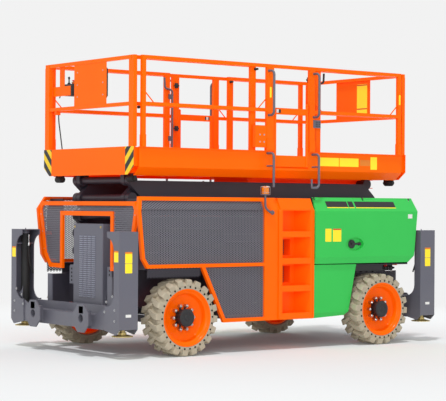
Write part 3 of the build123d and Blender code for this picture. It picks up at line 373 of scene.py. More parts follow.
def facing(origin, out, up=(0, 0, 1)):
    """A frame whose Z points out of a surface, with Y as near to up as it can be."""
    z = Vector(out).normalized()
    x = Vector(up).cross(z).normalized()
    y = z.cross(x)
    return Matrix(((x.x, y.x, z.x, origin[0]), (x.y, y.y, z.y, origin[1]),
                   (x.z, y.z, z.z, origin[2]), (0, 0, 0, 1)))


def across_x(x, along=1, out=1, y=0.0, z=0.0):
    """A frame that stands across X: its flat points are (Y, Z), and it grows along out times X."""
    return Matrix(((0, 0, out, x), (along, 0, 0, y), (0, 1, 0, z), (0, 0, 0, 1)))


def rounded(width, height, corner, steps=3):
    """An upright rectangle round the origin with rounded corners."""
    points = []
    for cx, cy, start in ((1, 1, 0), (-1, 1, 90), (-1, -1, 180), (1, -1, 270)):
        for k in range(steps + 1):
            angle = math.radians(start + 90 * k / steps)
            points.append((cx * (width / 2 - corner) + corner * math.cos(angle),
                           cy * (height / 2 - corner) + corner * math.sin(angle)))
    return points


def shade_smooth(piece, angle=35):
    """Smooth shading, with edges sharper than the angle kept."""
    shape = bmesh.new()
    shape.from_mesh(piece.data)
    for face in shape.faces:
        face.smooth = True
    for edge in shape.edges:
        if len(edge.link_faces) == 2 and edge.calc_face_angle() > math.radians(angle):
            edge.smooth = False
    shape.to_mesh(piece.data)
    shape.free()
    return piece


# ------------------------------------------------------------ repeated fittings by Geometry Nodes
def joined(tree, *parts):
    """Several geometries as one."""
    both = add_node(tree, "GeometryNodeJoinGeometry")
    for part in parts:
        tree.links.new(part, both.inputs["Geometry"])
    return both.outputs["Geometry"]


def raised(tree, geometry, height):
    """A geometry moved up its own Z."""
    up = add_node(tree, "ShaderNodeCombineXYZ", {"Z": height}).outputs["Vector"]
    return add_node(tree, "GeometryNodeTransform", {
        "Geometry": geometry, "Translation": up}).outputs["Geometry"]


def point_tree(name, numbers, build, close_up=None):
    """A tree that puts one fitting on every point of its mesh, turned to the point's normal.

    numbers names its inputs, and close_up works on the whole once the fittings are real."""
    tree = bpy.data.node_groups.new(name, "GeometryNodeTree")
    sockets = [("Geometry", "INPUT", "Geometry"), *((label, "INPUT", "Float") for label in numbers),
               ("Finish", "INPUT", "Material"), ("Geometry", "OUTPUT", "Geometry")]
    for label, way, kind in sockets:
        tree.interface.new_socket(label, in_out=way, socket_type="NodeSocket" + kind)
    given = add_node(tree, "NodeGroupInput").outputs
    out = add_node(tree, "GeometryNodeInputNamedAttribute", {"Name": "out"}, data_type="FLOAT_VECTOR")
    turned = add_node(tree, "FunctionNodeAlignRotationToVector", {
        "Vector": out.outputs["Attribute"]}, axis="Z")
    placed = add_node(tree, "GeometryNodeInstanceOnPoints", {
        "Points": given["Geometry"], "Instance": build(tree, given),
        "Rotation": turned.outputs["Rotation"]})
    whole = add_node(tree, "GeometryNodeRealizeInstances", {
        "Geometry": placed.outputs["Instances"]}).outputs["Geometry"]
    if close_up:
        whole = close_up(tree, given, whole)
    worn = add_node(tree, "GeometryNodeSetMaterial", {"Geometry": whole, "Material": given["Finish"]})
    add_node(tree, "NodeGroupOutput", {"Geometry": worn.outputs["Geometry"]})
    return tree


def hex_head(tree, given):
    """A hexagon head on a round washer; Size is the width across the head's corners."""
    def part(share):
        return maths(tree, "MULTIPLY", given["Size"], share)
    head = add_node(tree, "GeometryNodeMeshCone", {
        "Vertices": 6, "Radius Top": part(0.44), "Radius Bottom": part(0.5), "Depth": part(0.38)})
    washer = add_node(tree, "GeometryNodeMeshCylinder", {
        "Vertices": 14, "Radius": part(0.68), "Depth": part(0.10)})
    return joined(tree, head.outputs["Mesh"], raised(tree, washer.outputs["Mesh"], part(0.05)))


def wheel_nut(tree, given):
    """A capped wheel nut: a hexagon with a domed cap on it; Size is the width across the corners."""
    def part(share):
        return maths(tree, "MULTIPLY", given["Size"], share)
    nut = add_node(tree, "GeometryNodeMeshCylinder", {
        "Vertices": 6, "Radius": part(0.5), "Depth": part(1.3)})
    cap = add_node(tree, "GeometryNodeMeshUVSphere", {"Segments": 12, "Rings": 6, "Radius": part(0.42)})
    return joined(tree, nut.outputs["Mesh"], raised(tree, cap.outputs["Mesh"], part(0.62)))


def round_hole(tree, given):
    """A painted shadow for a blind hole's mouth: a shallow disc that sits just proud of its surface."""
    return add_node(tree, "GeometryNodeMeshCylinder", {
        "Vertices": 14, "Radius": maths(tree, "MULTIPLY", given["Size"], 0.5),
        "Depth": 0.0016}).outputs["Mesh"]


HEX_HEADS = point_tree("hexagon_heads", ["Size"], hex_head)
WHEEL_NUTS = point_tree("wheel_nuts", ["Size"], wheel_nut)
ROUND_HOLES = point_tree("round_holes", ["Size"], round_hole)


def grow_on(name, tree, values, spots, body, finish):
    """What a tree grows at spots, each a place and the way that it faces, as one plain mesh."""
    mesh = bpy.data.meshes.new(name + "_spots")
    mesh.from_pydata([tuple(place) for place, out in spots], [], [])
    outs = mesh.attributes.new("out", "FLOAT_VECTOR", "POINT")
    outs.data.foreach_set("vector", [v for place, out in spots for v in Vector(out).normalized()])
    carrier = linked(name + "_spots", mesh)
    modifier = carrier.modifiers.new("fittings", "NODES")
    modifier.node_group = tree
    values = {**values, "Finish": finish}
    for item in tree.interface.items_tree:
        if item.in_out == "INPUT" and item.name in values:
            modifier[item.identifier] = values[item.name]
    graph = bpy.context.evaluated_depsgraph_get()
    made = bpy.data.meshes.new_from_object(carrier.evaluated_get(graph))
    made.name = name
    bpy.data.objects.remove(carrier)
    piece = linked(name, made)
    if not made.materials:
        made.materials.append(finish)
    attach(piece, body)
    return piece


def fit_on(name, tree, size, spots, body, finish):
    """Fittings of one size at spots."""
    return grow_on(name, tree, {"Size": size}, spots, body, finish)


# ------------------------------------------------------------ control cable
# Hangs from the clamp under the front middle rail to the gland on the sliding floor.
cable_curve = bpy.data.curves.new("platform_control_cable", "CURVE")
cable_curve.dimensions = "3D"
cable_line = cable_curve.splines.new("NURBS")
cable_route = [(-1.943, 0.700, 2.666), (-1.943, 0.700, 2.600), (-1.931, 0.690, 2.490),
               (-1.925, 0.672, 2.372), (-1.921, 0.652, 2.258), (-1.918, 0.642, 2.160),
               (-1.918, 0.642, 2.080)]
cable_line.points.add(len(cable_route) - 1)
for point, place in zip(cable_line.points, cable_route):
    point.co = (*place, 1.0)
cable_line.order_u = 3
cable_line.use_endpoint_u = True
cable_line.resolution_u = 12
cable_curve.bevel_depth = 0.007
cable_curve.bevel_resolution = 4
cable_curve.use_fill_caps = True
cable_curve.materials.append(CABLE_SHEATH)
cable = linked("platform_control_cable", cable_curve)
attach(cable, "slide_front")
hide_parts("control_cable")

# ------------------------------------------------------------ punched screens
def punched_cell(tree, given):
    """One hexagonal cell of a punched sheet with a hexagonal hole in it, a pitch across its flats."""
    circles = [add_node(tree, "GeometryNodeCurvePrimitiveCircle", {
        "Resolution": 6, "Radius": radius}).outputs["Curve"]
        for radius in (maths(tree, "MULTIPLY", given["Pitch"], 3 ** -0.5), given["Hole"])]
    return add_node(tree, "GeometryNodeFillCurve", {"Curve": joined(tree, *circles)}).outputs["Mesh"]


def merged(tree, geometry, distance):
    """A geometry with the points that lie together made one."""
    return add_node(tree, "GeometryNodeMergeByDistance", {
        "Geometry": geometry, "Distance": distance}).outputs["Geometry"]


def closed_sheet(tree, given, cells):
    """The cells merged into one sheet and given a thickness."""
    sheet = merged(tree, cells, 0.0006)
    thick = add_node(tree, "GeometryNodeExtrudeMesh", {
        "Mesh": sheet, "Offset Scale": given["Thickness"], "Individual": False})
    back = add_node(tree, "GeometryNodeFlipFaces", {"Mesh": sheet})
    return merged(tree, joined(tree, thick.outputs["Mesh"], back.outputs["Mesh"]), 0.0004)


PUNCHED = point_tree("punched_sheet", ["Pitch", "Hole", "Thickness"], punched_cell, closed_sheet)
# The real sheet has 8 mm holes 12 mm apart; they are drawn twice as coarse, so that they show.
HOLE_PITCH, HOLE_RADIUS, SHEET_THICKNESS = 0.024, 0.0086, 0.003


def inside(point, outline):
    """True where a flat point lies within a closed outline."""
    x, y = point
    hit = False
    for (x1, y1), (x2, y2) in zip(outline, outline[1:] + outline[:1]):
        if (y1 > y) != (y2 > y) and x < (x2 - x1) * (y - y1) / (y2 - y1) + x1:
            hit = not hit
    return hit


def cells_in(outline, place, out, pitch, turned=False):
    """Cell middles on a hexagonal net inside an outline; place turns flat points into real ones."""
    xs, ys = [p[0] for p in outline], [p[1] for p in outline]
    step_a, step_b = pitch * 3 ** 0.5 / 2, pitch
    spots = []
    (lo_a, hi_a), (lo_b, hi_b) = ((min(ys), max(ys)), (min(xs), max(xs))) if turned else (
        (min(xs), max(xs)), (min(ys), max(ys)))
    for i in range(int((hi_a - lo_a) / step_a) + 2):
        for j in range(int((hi_b - lo_b) / step_b) + 2):
            a, b = lo_a + i * step_a, lo_b + (j + 0.5 * (i % 2)) * step_b
            spot = (b, a) if turned else (a, b)
            if inside(spot, outline):
                spots.append((place(*spot), out))
    return spots


def punched(name, regions, body, pitch=HOLE_PITCH, hole=HOLE_RADIUS, finish=MESH_GREY):
    """A punched sheet over regions of (outline, place, out, turned)."""
    spots = [s for outline, place, out, turned in regions
             for s in cells_in(outline, place, out, pitch, turned)]
    return grow_on(name, PUNCHED, {"Pitch": pitch, "Hole": hole, "Thickness": SHEET_THICKNESS},
                   spots, body, finish)


guard_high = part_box("guards")[1]
SCREEN_Y = guard_high.y - 0.024          # the sheet sits this far behind the bars' outer face
FOLD_Z = 1.588                           # the guards lean in above this height
LEAN = Vector((0, 0.070, 0.140)).normalized()
upper_window = [(-1.984, 1.580), (-1.930, 1.070), (-1.882, 0.997), (-0.293, 0.997), (-0.293, 1.580)]
lean_window = [(-1.984, 0.0), (-1.944, 0.112), (-0.293, 0.112), (-0.293, 0.0)]
lower_window = [(-1.128, 0.957), (-0.846, 0.385), (-0.293, 0.385), (-0.293, 0.957)]
end_window = [(-0.925, 1.628), (-0.952, 1.582), (-0.848, 1.085), (-0.752, 0.968), (-0.545, 0.965),
              (-0.545, 1.565), (0.545, 1.565), (0.545, 0.965), (0.752, 0.968), (0.848, 1.085),
              (0.952, 1.582), (0.925, 1.628)]
for side, where in SIDES:
    def on_side(x, z):
        return Vector((x, side * SCREEN_Y, z))

    def on_slope(x, rise):
        return Vector((x, side * (SCREEN_Y - LEAN.y * rise), FOLD_Z + LEAN.z * rise))
    screen = punched(f"side_guard_screen_{where}", [
        (upper_window, on_side, (0, side, 0), False),
        (lower_window, on_side, (0, side, 0), False),
        (lean_window, on_slope, (0, side * LEAN.z, LEAN.y), False)], "chassis")
    if where == "near":
        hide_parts("guard_screens")
for end, where in ENDS:
    punched(f"end_guard_screen_{where}", [
        (end_window, lambda y, z: Vector((end * (guard_high.x - 0.014), y, z)), (end, 0, 0), True)],
        "chassis")

# ------------------------------------------------------------ wheels
# A tyre's outline under its lugs: radius, distance from the middle of the tread.
TYRE_SIDE = [(0.3008, 0.116), (0.3060, 0.126), (0.3125, 0.137), (0.3140, 0.1455), (0.3170, 0.1500),
             (0.3260, 0.1512), (0.3460, 0.1500), (0.3540, 0.1430), (0.3680, 0.1330), (0.3800, 0.1170),
             (0.3830, 0.1000)]
# A dished rim: radius, distance from the middle of the tread, from the flange inwards and back.
RIM = [(0.3130, 0.1440), (0.3125, 0.1495), (0.3085, 0.1518), (0.3000, 0.1500), (0.2930, 0.1430),
       (0.2890, 0.1330), (0.2830, 0.1270), (0.2680, 0.1210), (0.2620, 0.1100), (0.2590, 0.0720),
       (0.2520, 0.0580), (0.2380, 0.0500), (0.2000, 0.0460), (0.1900, 0.0390), (0.0780, 0.0380),
       (0.0780, 0.0260), (0.1950, 0.0260), (0.2400, 0.0350), (0.2700, 0.0250), (0.2810, -0.0280),
       (0.2810, -0.1380), (0.2997, -0.1380), (0.2997, 0.1160), (0.3040, 0.1260), (0.3100, 0.1365)]
# The hub's cap: radius, distance outwards from the rim's disc.
HUB_CAP = [(0, 0.0), (0.086, 0.0), (0.086, 0.086), (0.0975, 0.088), (0.0975, 0.121), (0.095, 0.127),
           (0.086, 0.1310), (0.060, 0.1325), (0.056, 0.1305), (0.030, 0.1305), (0.027, 0.1330),
           (0, 0.1335)]
# Stations along a lug: distance from the middle, turn in degrees, half width, top radius.
LUG_STATIONS = [
    (-0.022, -8.6, 0.015, 0.4150), (-0.004, -7.6, 0.022, 0.4180), (0.046, -3.6, 0.028, 0.4190),
    (0.090, -0.4, 0.033, 0.4190), (0.122, 0.6, 0.036, 0.4180), (0.141, 0.9, 0.036, 0.4140),
    (0.1515, 1.0, 0.033, 0.4020)]
LUGS = 20                    # on each side of a tyre
TREAD_MIDDLE_Y = 0.988       # the middle of every tread, from the machine's middle


def circle_of(centre, y, radius, count, out):
    """Places on a circle round a wheel's axis, all facing out."""
    angles = [2 * math.pi * k / count for k in range(count)]
    return [(Vector((centre.x + radius * math.cos(a), y, centre.z + radius * math.sin(a))), out)
            for a in angles]


def tyre_in(shape, centre, side):
    """A solid tyre: a smooth carcass with slanting lugs, outside and inside by turns."""
    middle = Vector((centre.x, side * TREAD_MIDDLE_Y, centre.z))
    outline = TYRE_SIDE + [(0.3835, 0.0)] + [(r, -d) for r, d in reversed(TYRE_SIDE)]
    turned_in(shape, outline, middle, (0, side, 0), 120, ring=True)
    for lug in range(2 * LUGS):
        way = side if lug % 2 else -side
        for_angle = (lug + 0.5) * 180 / LUGS - 90
        rings = []
        for along, turn, half_width, top in LUG_STATIONS:
            angle = math.radians(for_angle + turn)
            around = Vector((-math.sin(angle), 0, math.cos(angle)))
            outward = Vector((math.cos(angle), 0, math.sin(angle)))
            ring = []
            for across, radius in ((-1.10, 0.352), (-1.02, 0.384), (-0.90, top), (0.90, top),
                                   (1.02, 0.384), (1.10, 0.352)):
                span = across * half_width
                level = math.sqrt(radius ** 2 - span ** 2)
                ring.append(shape.verts.new(middle + Vector((0, way * along, 0)) + around * span
                                            + outward * level))
            rings.append(ring)
        skin(shape, rings)


for axle in ("front", "rear"):
    for side, where in SIDES:
        body = f"wheel_{axle}_{where}"
        low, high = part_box(f"tyre_{axle}_{where}")
        centre = (low + high) / 2
        out = (0, side, 0)
        # Ten capped nuts on a 264 mm circle, and ten dark screws round the hub inside them.
        fit_on(f"wheel_nuts_{axle}_{where}", WHEEL_NUTS, 0.040,
               circle_of(centre, side * 1.048, 0.132, 10, out), body, ZINC)
        fit_on(f"hub_screws_{axle}_{where}", HEX_HEADS, 0.022,
               circle_of(centre, side * 1.042, 0.101, 10, out), body, BLACK_PLASTIC)
        rim = keep(f"dished_rim_{axle}_{where}", lambda shape: turned_in(
            shape, RIM, (centre.x, side * TREAD_MIDDLE_Y, centre.z), out, 96, ring=True),
            body, ORANGE)
        shade_smooth(rim, 40)
        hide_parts(f"rim_{axle}_{where}")
        tyre = keep(f"solid_tyre_{axle}_{where}", lambda shape: tyre_in(shape, centre, side),
                    body, TYRE_RUBBER)
        shade_smooth(tyre, 17)
        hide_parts(f"tyre_{axle}_{where}")
        # Near-black discs round the sidewalls: painted shade for holes that are not cut.
        fit_on(f"sidewall_holes_{axle}_{where}", ROUND_HOLES, 0.023,
               circle_of(centre, side * 1.1388, 0.336, 30, out), body, HOLE_SHADE)
        shade_smooth(keep(f"hub_cap_{axle}_{where}", lambda shape: turned_in(
            shape, HUB_CAP, (centre.x, side * 1.006, centre.z), out, 40),
            body, BLACK_PLASTIC))

# ------------------------------------------------------------ louvred cabinet
CAB_FACE = -2.030


def louvre(shape, y, z, width=0.060, height=0.013, depth=0.011):
    """A pressed louvre: a half-round hood over a slot, closed at its ends."""
    rows = []
    for k in range(4):
        angle = math.pi / 2 * k / 3
        rows.append((-depth * math.sin(angle), -height / 2 + height * (1 - math.cos(angle))))
    left = [shape.verts.new((CAB_FACE + dx, y - width / 2, z + dz)) for dx, dz in rows]
    rightward = [shape.verts.new((CAB_FACE + dx, y + width / 2, z + dz)) for dx, dz in rows]
    back_left = shape.verts.new((CAB_FACE, y - width / 2, z + height / 2))
    back_right = shape.verts.new((CAB_FACE, y + width / 2, z + height / 2))
    for a, b, c, d in zip(left, left[1:], rightward[1:], rightward):
        shape.faces.new((a, b, c, d))
    shape.faces.new((left[-1], back_left, back_right, rightward[-1]))
    shape.faces.new((*left, back_left))
    shape.faces.new((*rightward, back_right))
    shape.faces.new((left[0], rightward[0], back_right, back_left))


def louvres(shape):
    """Four columns of thirty louvres in the cabinet's front sheet."""
    for column in range(4):
        for row in range(30):
            louvre(shape, -0.196 + 0.084 * column, 0.6165 + 0.023 * row)


# The louvres wear the pale grey: a painted highlight.
keep("cabinet_louvres", louvres, "chassis", LOUVRE_HIGHLIGHT_GREY)
cab_bolts = [(Vector((CAB_FACE, y, z)), (-1, 0, 0)) for y in (-0.335, 0.195) for z in (0.515, 1.390)]
fit_on("cabinet_bolts", HEX_HEADS, 0.020, cab_bolts, "chassis", YELLOW_ZINC)

# ------------------------------------------------------------ labels and films
FILM = 0.0004                # a film's thickness
LIFT, UPPER_LIFT = 0.0002, 0.0007    # how far a film, or one on top of it, stands off its surface


def films(name, body, finish, spots):
    """Several labels of one film as one piece: (origin, out, width, height) each."""
    def fill(shape):
        for origin, out, width, height in spots:
            plate_in(shape, rounded(width, height, 0.004), FILM, facing(Vector(origin), out))
    return keep(name, fill, body, finish)


LEG_OUT_Y, LEG_X = 1.123, (2.070, 2.310)
JACK_X, JACK_Y = 2.190, 1.010
END_PLATE_LABEL_X = 2.3896   # so that the film ends flush with the solids
yellow_spots, orange_spots, white_spots = [], [], []
for end, side in CORNERS:
    out, ahead_of = (0, side, 0), (end, 0, 0)
    x, y = end * JACK_X, side * (LEG_OUT_Y + LIFT)
    front_x, label_y = end * (LEG_X[1] + LIFT), side * 1.066
    yellow_spots += [((x, y, 1.080), out, 0.090, 0.120), ((x, y, 0.966), out, 0.090, 0.100),
                     ((front_x, label_y, 1.092), ahead_of, 0.080, 0.120)]
    orange_spots += [((x, side * (LEG_OUT_Y + UPPER_LIFT), 1.131), out, 0.090, 0.018),
                     ((end * (LEG_X[1] + UPPER_LIFT), label_y, 1.144), ahead_of, 0.080, 0.016)]
    white_spots += [((x, y, 0.465), out, 0.070, 0.030),
                    ((end * END_PLATE_LABEL_X, side * 0.505, 0.505), ahead_of, 0.086, 0.076)]
films("leg_labels_yellow", "chassis", YELLOW_FILM, yellow_spots)
films("leg_labels_orange", "chassis", ORANGE_FILM, orange_spots)
films("leg_labels_white", "chassis", WHITE_FILM, white_spots)

# Safety stripes on both end plates of the sliding decks, cut to the plates' sloping corners.
STRIPE_WIDTH = 0.165
for end, name in ENDS:
    low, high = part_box(f"slide_deck_{name}")
    plate_x = high.x if end > 0 else low.x
    for side, where in SIDES:
        outer, inner = side * 0.924, side * (0.924 - STRIPE_WIDTH)
        outline = [(outer, 2.267), (inner, 2.267), (inner, 1.9650),
                   (side * 0.805, 1.9645), (outer, 2.054)]
        place = across_x(plate_x + end * LIFT, out=end)
        finish = STRIPES_RISING if side * end < 0 else STRIPES_FALLING
        keep(f"end_stripes_{name}_{where}", lambda shape: plate_in(shape, outline, FILM, place),
             f"slide_{name}", finish)

# Toe board: two yellow films, an amber one and a small one at the hoods' end, on both sides.
TOE_BOARD_Y = 0.925
for side, where in SIDES:
    y = side * (TOE_BOARD_Y + LIFT)
    out = (0, side, 0)
    films(f"toe_board_films_{where}", "platform", YELLOW_FILM, [
        ((0.770, y, 2.155), out, 0.30, 0.100), ((1.080, y, 2.155), out, 0.30, 0.100),
        ((1.475, y, 2.152), out, 0.105, 0.150)])
    films(f"toe_board_film_amber_{where}", "platform", ORANGE_FILM, [
        ((1.335, y, 2.155), out, 0.160, 0.072)])

# Hoods: three black bands over a yellow line on the leaning part, blank plates lower down.
HOOD_OUT_Y, HOOD_FOLD_Z = 1.080, 1.580
BAND_SPANS = [(0.795, 0.330), (1.015, 0.080), (1.400, 0.640)]    # middle, length
hood_slope = Vector((0, 0.100, 0.158)).normalized()
for side, where in SIDES:
    body = f"hood_{where}"
    out = Vector((0, side * hood_slope.z, hood_slope.y))
    along = Vector((0, -side * hood_slope.y, hood_slope.z))
    fold_y = side * (HOOD_OUT_Y + 0.0004)

    def bands(shape, rise, height):
        """Bands on the leaning part, rise above its fold."""
        for x, width in BAND_SPANS:
            spot = Vector((x, fold_y, HOOD_FOLD_Z)) + along * rise + out * 0.0003
            plate_in(shape, rounded(width, height, 0.003), FILM, facing(spot, out))
    keep(f"hood_bands_black_{where}", lambda shape: bands(shape, 0.095, 0.078), body, BLACK_FILM)
    keep(f"hood_bands_yellow_{where}", lambda shape: bands(shape, 0.048, 0.010), body, YELLOW_FILM)
    y = side * (HOOD_OUT_Y + LIFT)
    films(f"hood_labels_{where}", body, YELLOW_FILM, [
        ((0.628, y, 1.300), (0, side, 0), 0.092, 0.150), ((0.762, y, 1.300), (0, side, 0), 0.128, 0.150)])
    films(f"hood_label_heads_{where}", body, RED_FILM, [
        ((0.762, side * (HOOD_OUT_Y + UPPER_LIFT), 1.368), (0, side, 0), 0.128, 0.014)])
    films(f"hood_label_white_{where}", body, WHITE_FILM, [
        ((1.935, y, 1.520), (0, side, 0), 0.072, 0.050)])

    def paddle(shape):
        """A paddle latch: a pan, a curved pull and a lock barrel."""
        y0 = side * 1.052
        turned_in(shape, [(0, 0), (0.052, 0), (0.052, 0.006), (0.046, 0.010), (0, 0.010)],
                  (1.012, y0, 1.193), (0, side, 0), 28)
        box_in(shape, (1.000, y0 + side * 0.008, 1.184), (1.128, y0 + side * 0.021, 1.206), 0.005)
        box_in(shape, (1.108, y0, 1.176), (1.150, y0 + side * 0.017, 1.214), 0.006)
        turned_in(shape, [(0, 0), (0.010, 0), (0.010, 0.007), (0.008, 0.009), (0, 0.009)],
                  (0.990, y0 + side * 0.009, 1.222), (0, side, 0), 16)
    keep(f"paddle_latch_{where}", paddle, body, BLACK_PLASTIC)

# ------------------------------------------------------------ beacon
BEACON = Vector((-0.315, -1.080, 1.757))


def beacon_pipe(shape):
    tube_in(shape, [(-0.187, -1.050, 1.560), (-0.187, -1.080, 1.560), (-0.235, -1.080, 1.560),
                    (-0.315, -1.080, 1.612), (-0.315, -1.080, 1.757)], 0.012, 14, 8)
    turned_in(shape, [(0, 0), (0.026, 0), (0.026, 0.004), (0.022, 0.007), (0, 0.007)],
              (-0.187, -1.050, 1.560), (0, -1, 0), 24)
    turned_in(shape, [(0, 0), (0.048, 0), (0.058, 0.004), (0.058, 0.009), (0.046, 0.013), (0, 0.013)],
              BEACON, (0, 0, 1), 32)


def beacon_guard(shape):
    """A wire guard: two hoops and four uprights that bend in over the lens."""
    for z in (0.030, 0.085):
        hoop = [(BEACON.x + 0.054 * math.cos(a), BEACON.y + 0.054 * math.sin(a), BEACON.z + z)
                for a in [2 * math.pi * k / 24 for k in range(25)]]
        tube_in(shape, hoop, 0.0022, 6, 1)
    for k in range(4):
        a = math.pi / 4 + math.pi / 2 * k
        c, s = math.cos(a), math.sin(a)
        tube_in(shape, [(BEACON.x + 0.054 * c, BEACON.y + 0.054 * s, BEACON.z + 0.006),
                        (BEACON.x + 0.054 * c, BEACON.y + 0.054 * s, BEACON.z + 0.094),
                        (BEACON.x + 0.006 * c, BEACON.y + 0.006 * s, BEACON.z + 0.100)], 0.0022, 6, 3)


def beacon_lens(shape):
    """A ribbed amber lens with a domed cap."""
    profile = [(0, 0.012), (0.044, 0.012)]
    for k in range(8):
        z = 0.018 + k * 0.008
        profile += [(0.0435, z), (0.0412, z + 0.004)]
    profile += [(0.042, 0.084), (0.036, 0.093), (0.020, 0.099), (0, 0.101)]
    turned_in(shape, profile, BEACON, (0, 0, 1), 36)


pipe_piece = shade_smooth(keep("beacon_pipe", beacon_pipe, "chassis", GREY))
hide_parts("beacon")
shade_smooth(keep("beacon_lens", beacon_lens, "chassis", AMBER), 50)
shade_smooth(keep("beacon_guard", beacon_guard, "chassis", ZINC))

# ------------------------------------------------------------ machine details
def spots_on(points, out, axis, value):
    """Places that face one way: two free values each, with a third put in at an axis, 0 to 2."""
    return [(Vector((*point[:axis], value, *point[axis:])), out) for point in points]


# Bolts in the outrigger brackets, their end plates and their beams.
LEG_BOLTS = [                # distance from the machine's middle, height
    (1.000, 0.668), (1.042, 0.525), (1.042, 0.409), (0.882, 0.606), (0.850, 0.498),
]
leg_bolts = []
for end, side in CORNERS:
    leg_bolts += spots_on([(side * y, z) for y, z in LEG_BOLTS], (end, 0, 0), 0, end * LEG_X[1])
fit_on("bracket_bolts", HEX_HEADS, 0.022, leg_bolts, "chassis", ZINC)


def bracket_webs(shape):
    """Gusset webs between the outrigger brackets and the beam, and grease nipples on the jacks."""
    nipple = [(0, 0), (0.007, 0), (0.007, 0.006), (0.004, 0.009), (0.004, 0.014), (0, 0.015)]
    # A web with a round upper edge closes the lower end of the jack's channel.
    curve = [(JACK_Y + 0.082 * math.cos(a), 0.700 - 0.075 * math.sin(a))
             for a in (math.pi * k / 12 for k in range(13))] + [(0.928, 0.560), (1.092, 0.560)]
    for end, side in CORNERS:
        for x in (2.086, 2.286):
            plate_in(shape, [(0.850, 0.456), (0.850, 0.545), (0.640, 0.456)], 0.010,
                     across_x(end * x, side, end))
        plate_in(shape, curve, 0.006, across_x(end * 2.268, side, end))
        turned_in(shape, nipple, (end * JACK_X, side * JACK_Y, 1.352), (0, 0, 1), 12)


keep("bracket_webs", bracket_webs, "chassis", GREY)


HOSE_OFF = 0.076             # from the jack's axis to each hose beside it


def jack_sleeves(shape):
    """Black sleeves round the jack tubes, with two bent hoses on the inner side of each."""
    sleeve = [(0, 0.434), (0.0475, 0.434), (0.0475, 1.300), (0.044, 1.310), (0.044, 1.336), (0, 1.336)]
    for end, side in CORNERS:
        x, y = end * JACK_X, side * JACK_Y
        turned_in(shape, sleeve, (x, y, 0), (0, 0, 1), 28)
        for way in (-1, 1):
            near_y, far_y = y + way * HOSE_OFF, y + way * 0.080
            tube_in(shape, [(x, near_y, 1.185), (x, near_y, 1.080), (x - end * 0.010, far_y, 0.960),
                            (x - end * 0.060, far_y, 0.840)], 0.009, 8, 5)


def hose_ends(shape):
    """Crimped ends where the jack hoses meet their pipes."""
    crimp = [(0, 1.160), (0.0125, 1.160), (0.0125, 1.205), (0.009, 1.210), (0.006, 1.212),
             (0.006, 1.262), (0.0105, 1.262), (0.0105, 1.290), (0, 1.290)]
    for end, side in CORNERS:
        for way in (-1, 1):
            turned_in(shape, crimp, (end * JACK_X, side * JACK_Y + way * HOSE_OFF, 0), (0, 0, 1), 12)


shade_smooth(keep("jack_sleeves", jack_sleeves, "chassis", BLACK_RUBBER))
shade_smooth(keep("jack_hose_ends", hose_ends, "chassis", ZINC))


CABINET_SIDES = ((-1, -0.372), (1, 0.232))


def flanges(shape):
    """Drilled brackets that stand on both sides of the cabinet and carry its hoses."""
    outline = [(-0.045, -0.105), (0.045, -0.105), (0.045, 0.090), (0.028, 0.108), (-0.045, 0.108)]
    for side, y in CABINET_SIDES:
        plate_in(shape, outline, 0.008, across_x(-1.985, side, -1, y + side * 0.085, 0.850))
        box_in(shape, (-1.985, y + side * 0.040, 0.745), (-1.862, y + side * 0.130, 0.753), 0.001)
        box_in(shape, (-1.985, y + side * 0.122, 0.745), (-1.862, y + side * 0.130, 0.958), 0.001)


keep("hose_brackets", flanges, "chassis", GREY)
# The bracket holes are near-black discs: painted shade.
flange_holes = spots_on([(y + side * 0.085, z) for side, y in CABINET_SIDES
                         for z in (0.785, 0.828, 0.871, 0.914)], (-1, 0, 0), 0, -1.9935)
fit_on("hose_bracket_holes", ROUND_HOLES, 0.024, flange_holes, "chassis", HOLE_SHADE)

# Screws along the bent edges of both end guards.
guard_screws = []
for end, side in CORNERS:
    for t in (0.12, 0.5, 0.88):
        y, z = 0.988 + t * (0.888 - 0.988), 1.590 + t * (1.065 - 1.590)
        guard_screws.append((Vector((end * guard_high.x, side * y * 0.990, z)), (end, 0, 0)))
fit_on("guard_screws", HEX_HEADS, 0.011, guard_screws, "chassis", ZINC)


def window(low_x, low_z, high_x, high_z):
    """A rectangle's outline."""
    return [(low_x, low_z), (high_x, low_z), (high_x, high_z), (low_x, high_z)]


# Punched sheets behind the two open steps of each ladder, and over the steered wheels.
for side, where in SIDES:
    out = (0, side, 0)

    def behind_steps(x, z):
        return Vector((x, side * 0.752, z))
    punched(f"ladder_screen_{where}", [
        (window(-0.012, 1.072, 0.222, 1.250), behind_steps, out, False),
        (window(-0.012, 0.758, 0.222, 0.945), behind_steps, out, False)], "chassis")
    # The strip over the steered wheels wears dark enamel: painted shade for the recess that it lies in.
    punched(f"wheel_strip_{where}", [
        (window(-1.878, 0.864, -1.192, 0.955), lambda x, z: Vector((x, side * SCREEN_Y, z)), out, False)],
        "chassis", hole=0.0062, finish=DARK)


def compartment_linings(shape):
    """Thin inner sheets that close the side compartments under the chassis beams."""
    for side, where in SIDES:
        box_in(shape, (-0.888, side * 0.706, 0.398), (-0.090, side * 0.709, 0.5195))
        box_in(shape, (0.428, side * 0.706, 0.398), (0.888, side * 0.709, 0.5195))


keep("compartment_linings", compartment_linings, "chassis", DARK)


def valve_blocks(shape):
    """Hydraulic valves and a fuse box that show over the rear wheels and behind the guards."""
    for side, where in SIDES:
        box_in(shape, (1.600, side * 0.740, 0.866), (1.790, side * 0.930, 0.936), 0.006)
        for k in range(4):
            turned_in(shape, [(0, 0), (0.018, 0), (0.018, 0.030), (0.012, 0.036), (0.012, 0.058), (0, 0.058)],
                      (1.625 + 0.044 * k, side * 0.930, 0.900), (0, side, 0), 14)
        box_in(shape, (-0.640, side * 0.730, 0.958), (-0.200, side * 0.880, 1.230), 0.010)
        box_in(shape, (-0.600, side * 0.880, 0.990), (-0.240, side * 0.886, 1.200), 0.003)


keep("valve_blocks", valve_blocks, "chassis", BLACK_PLASTIC)


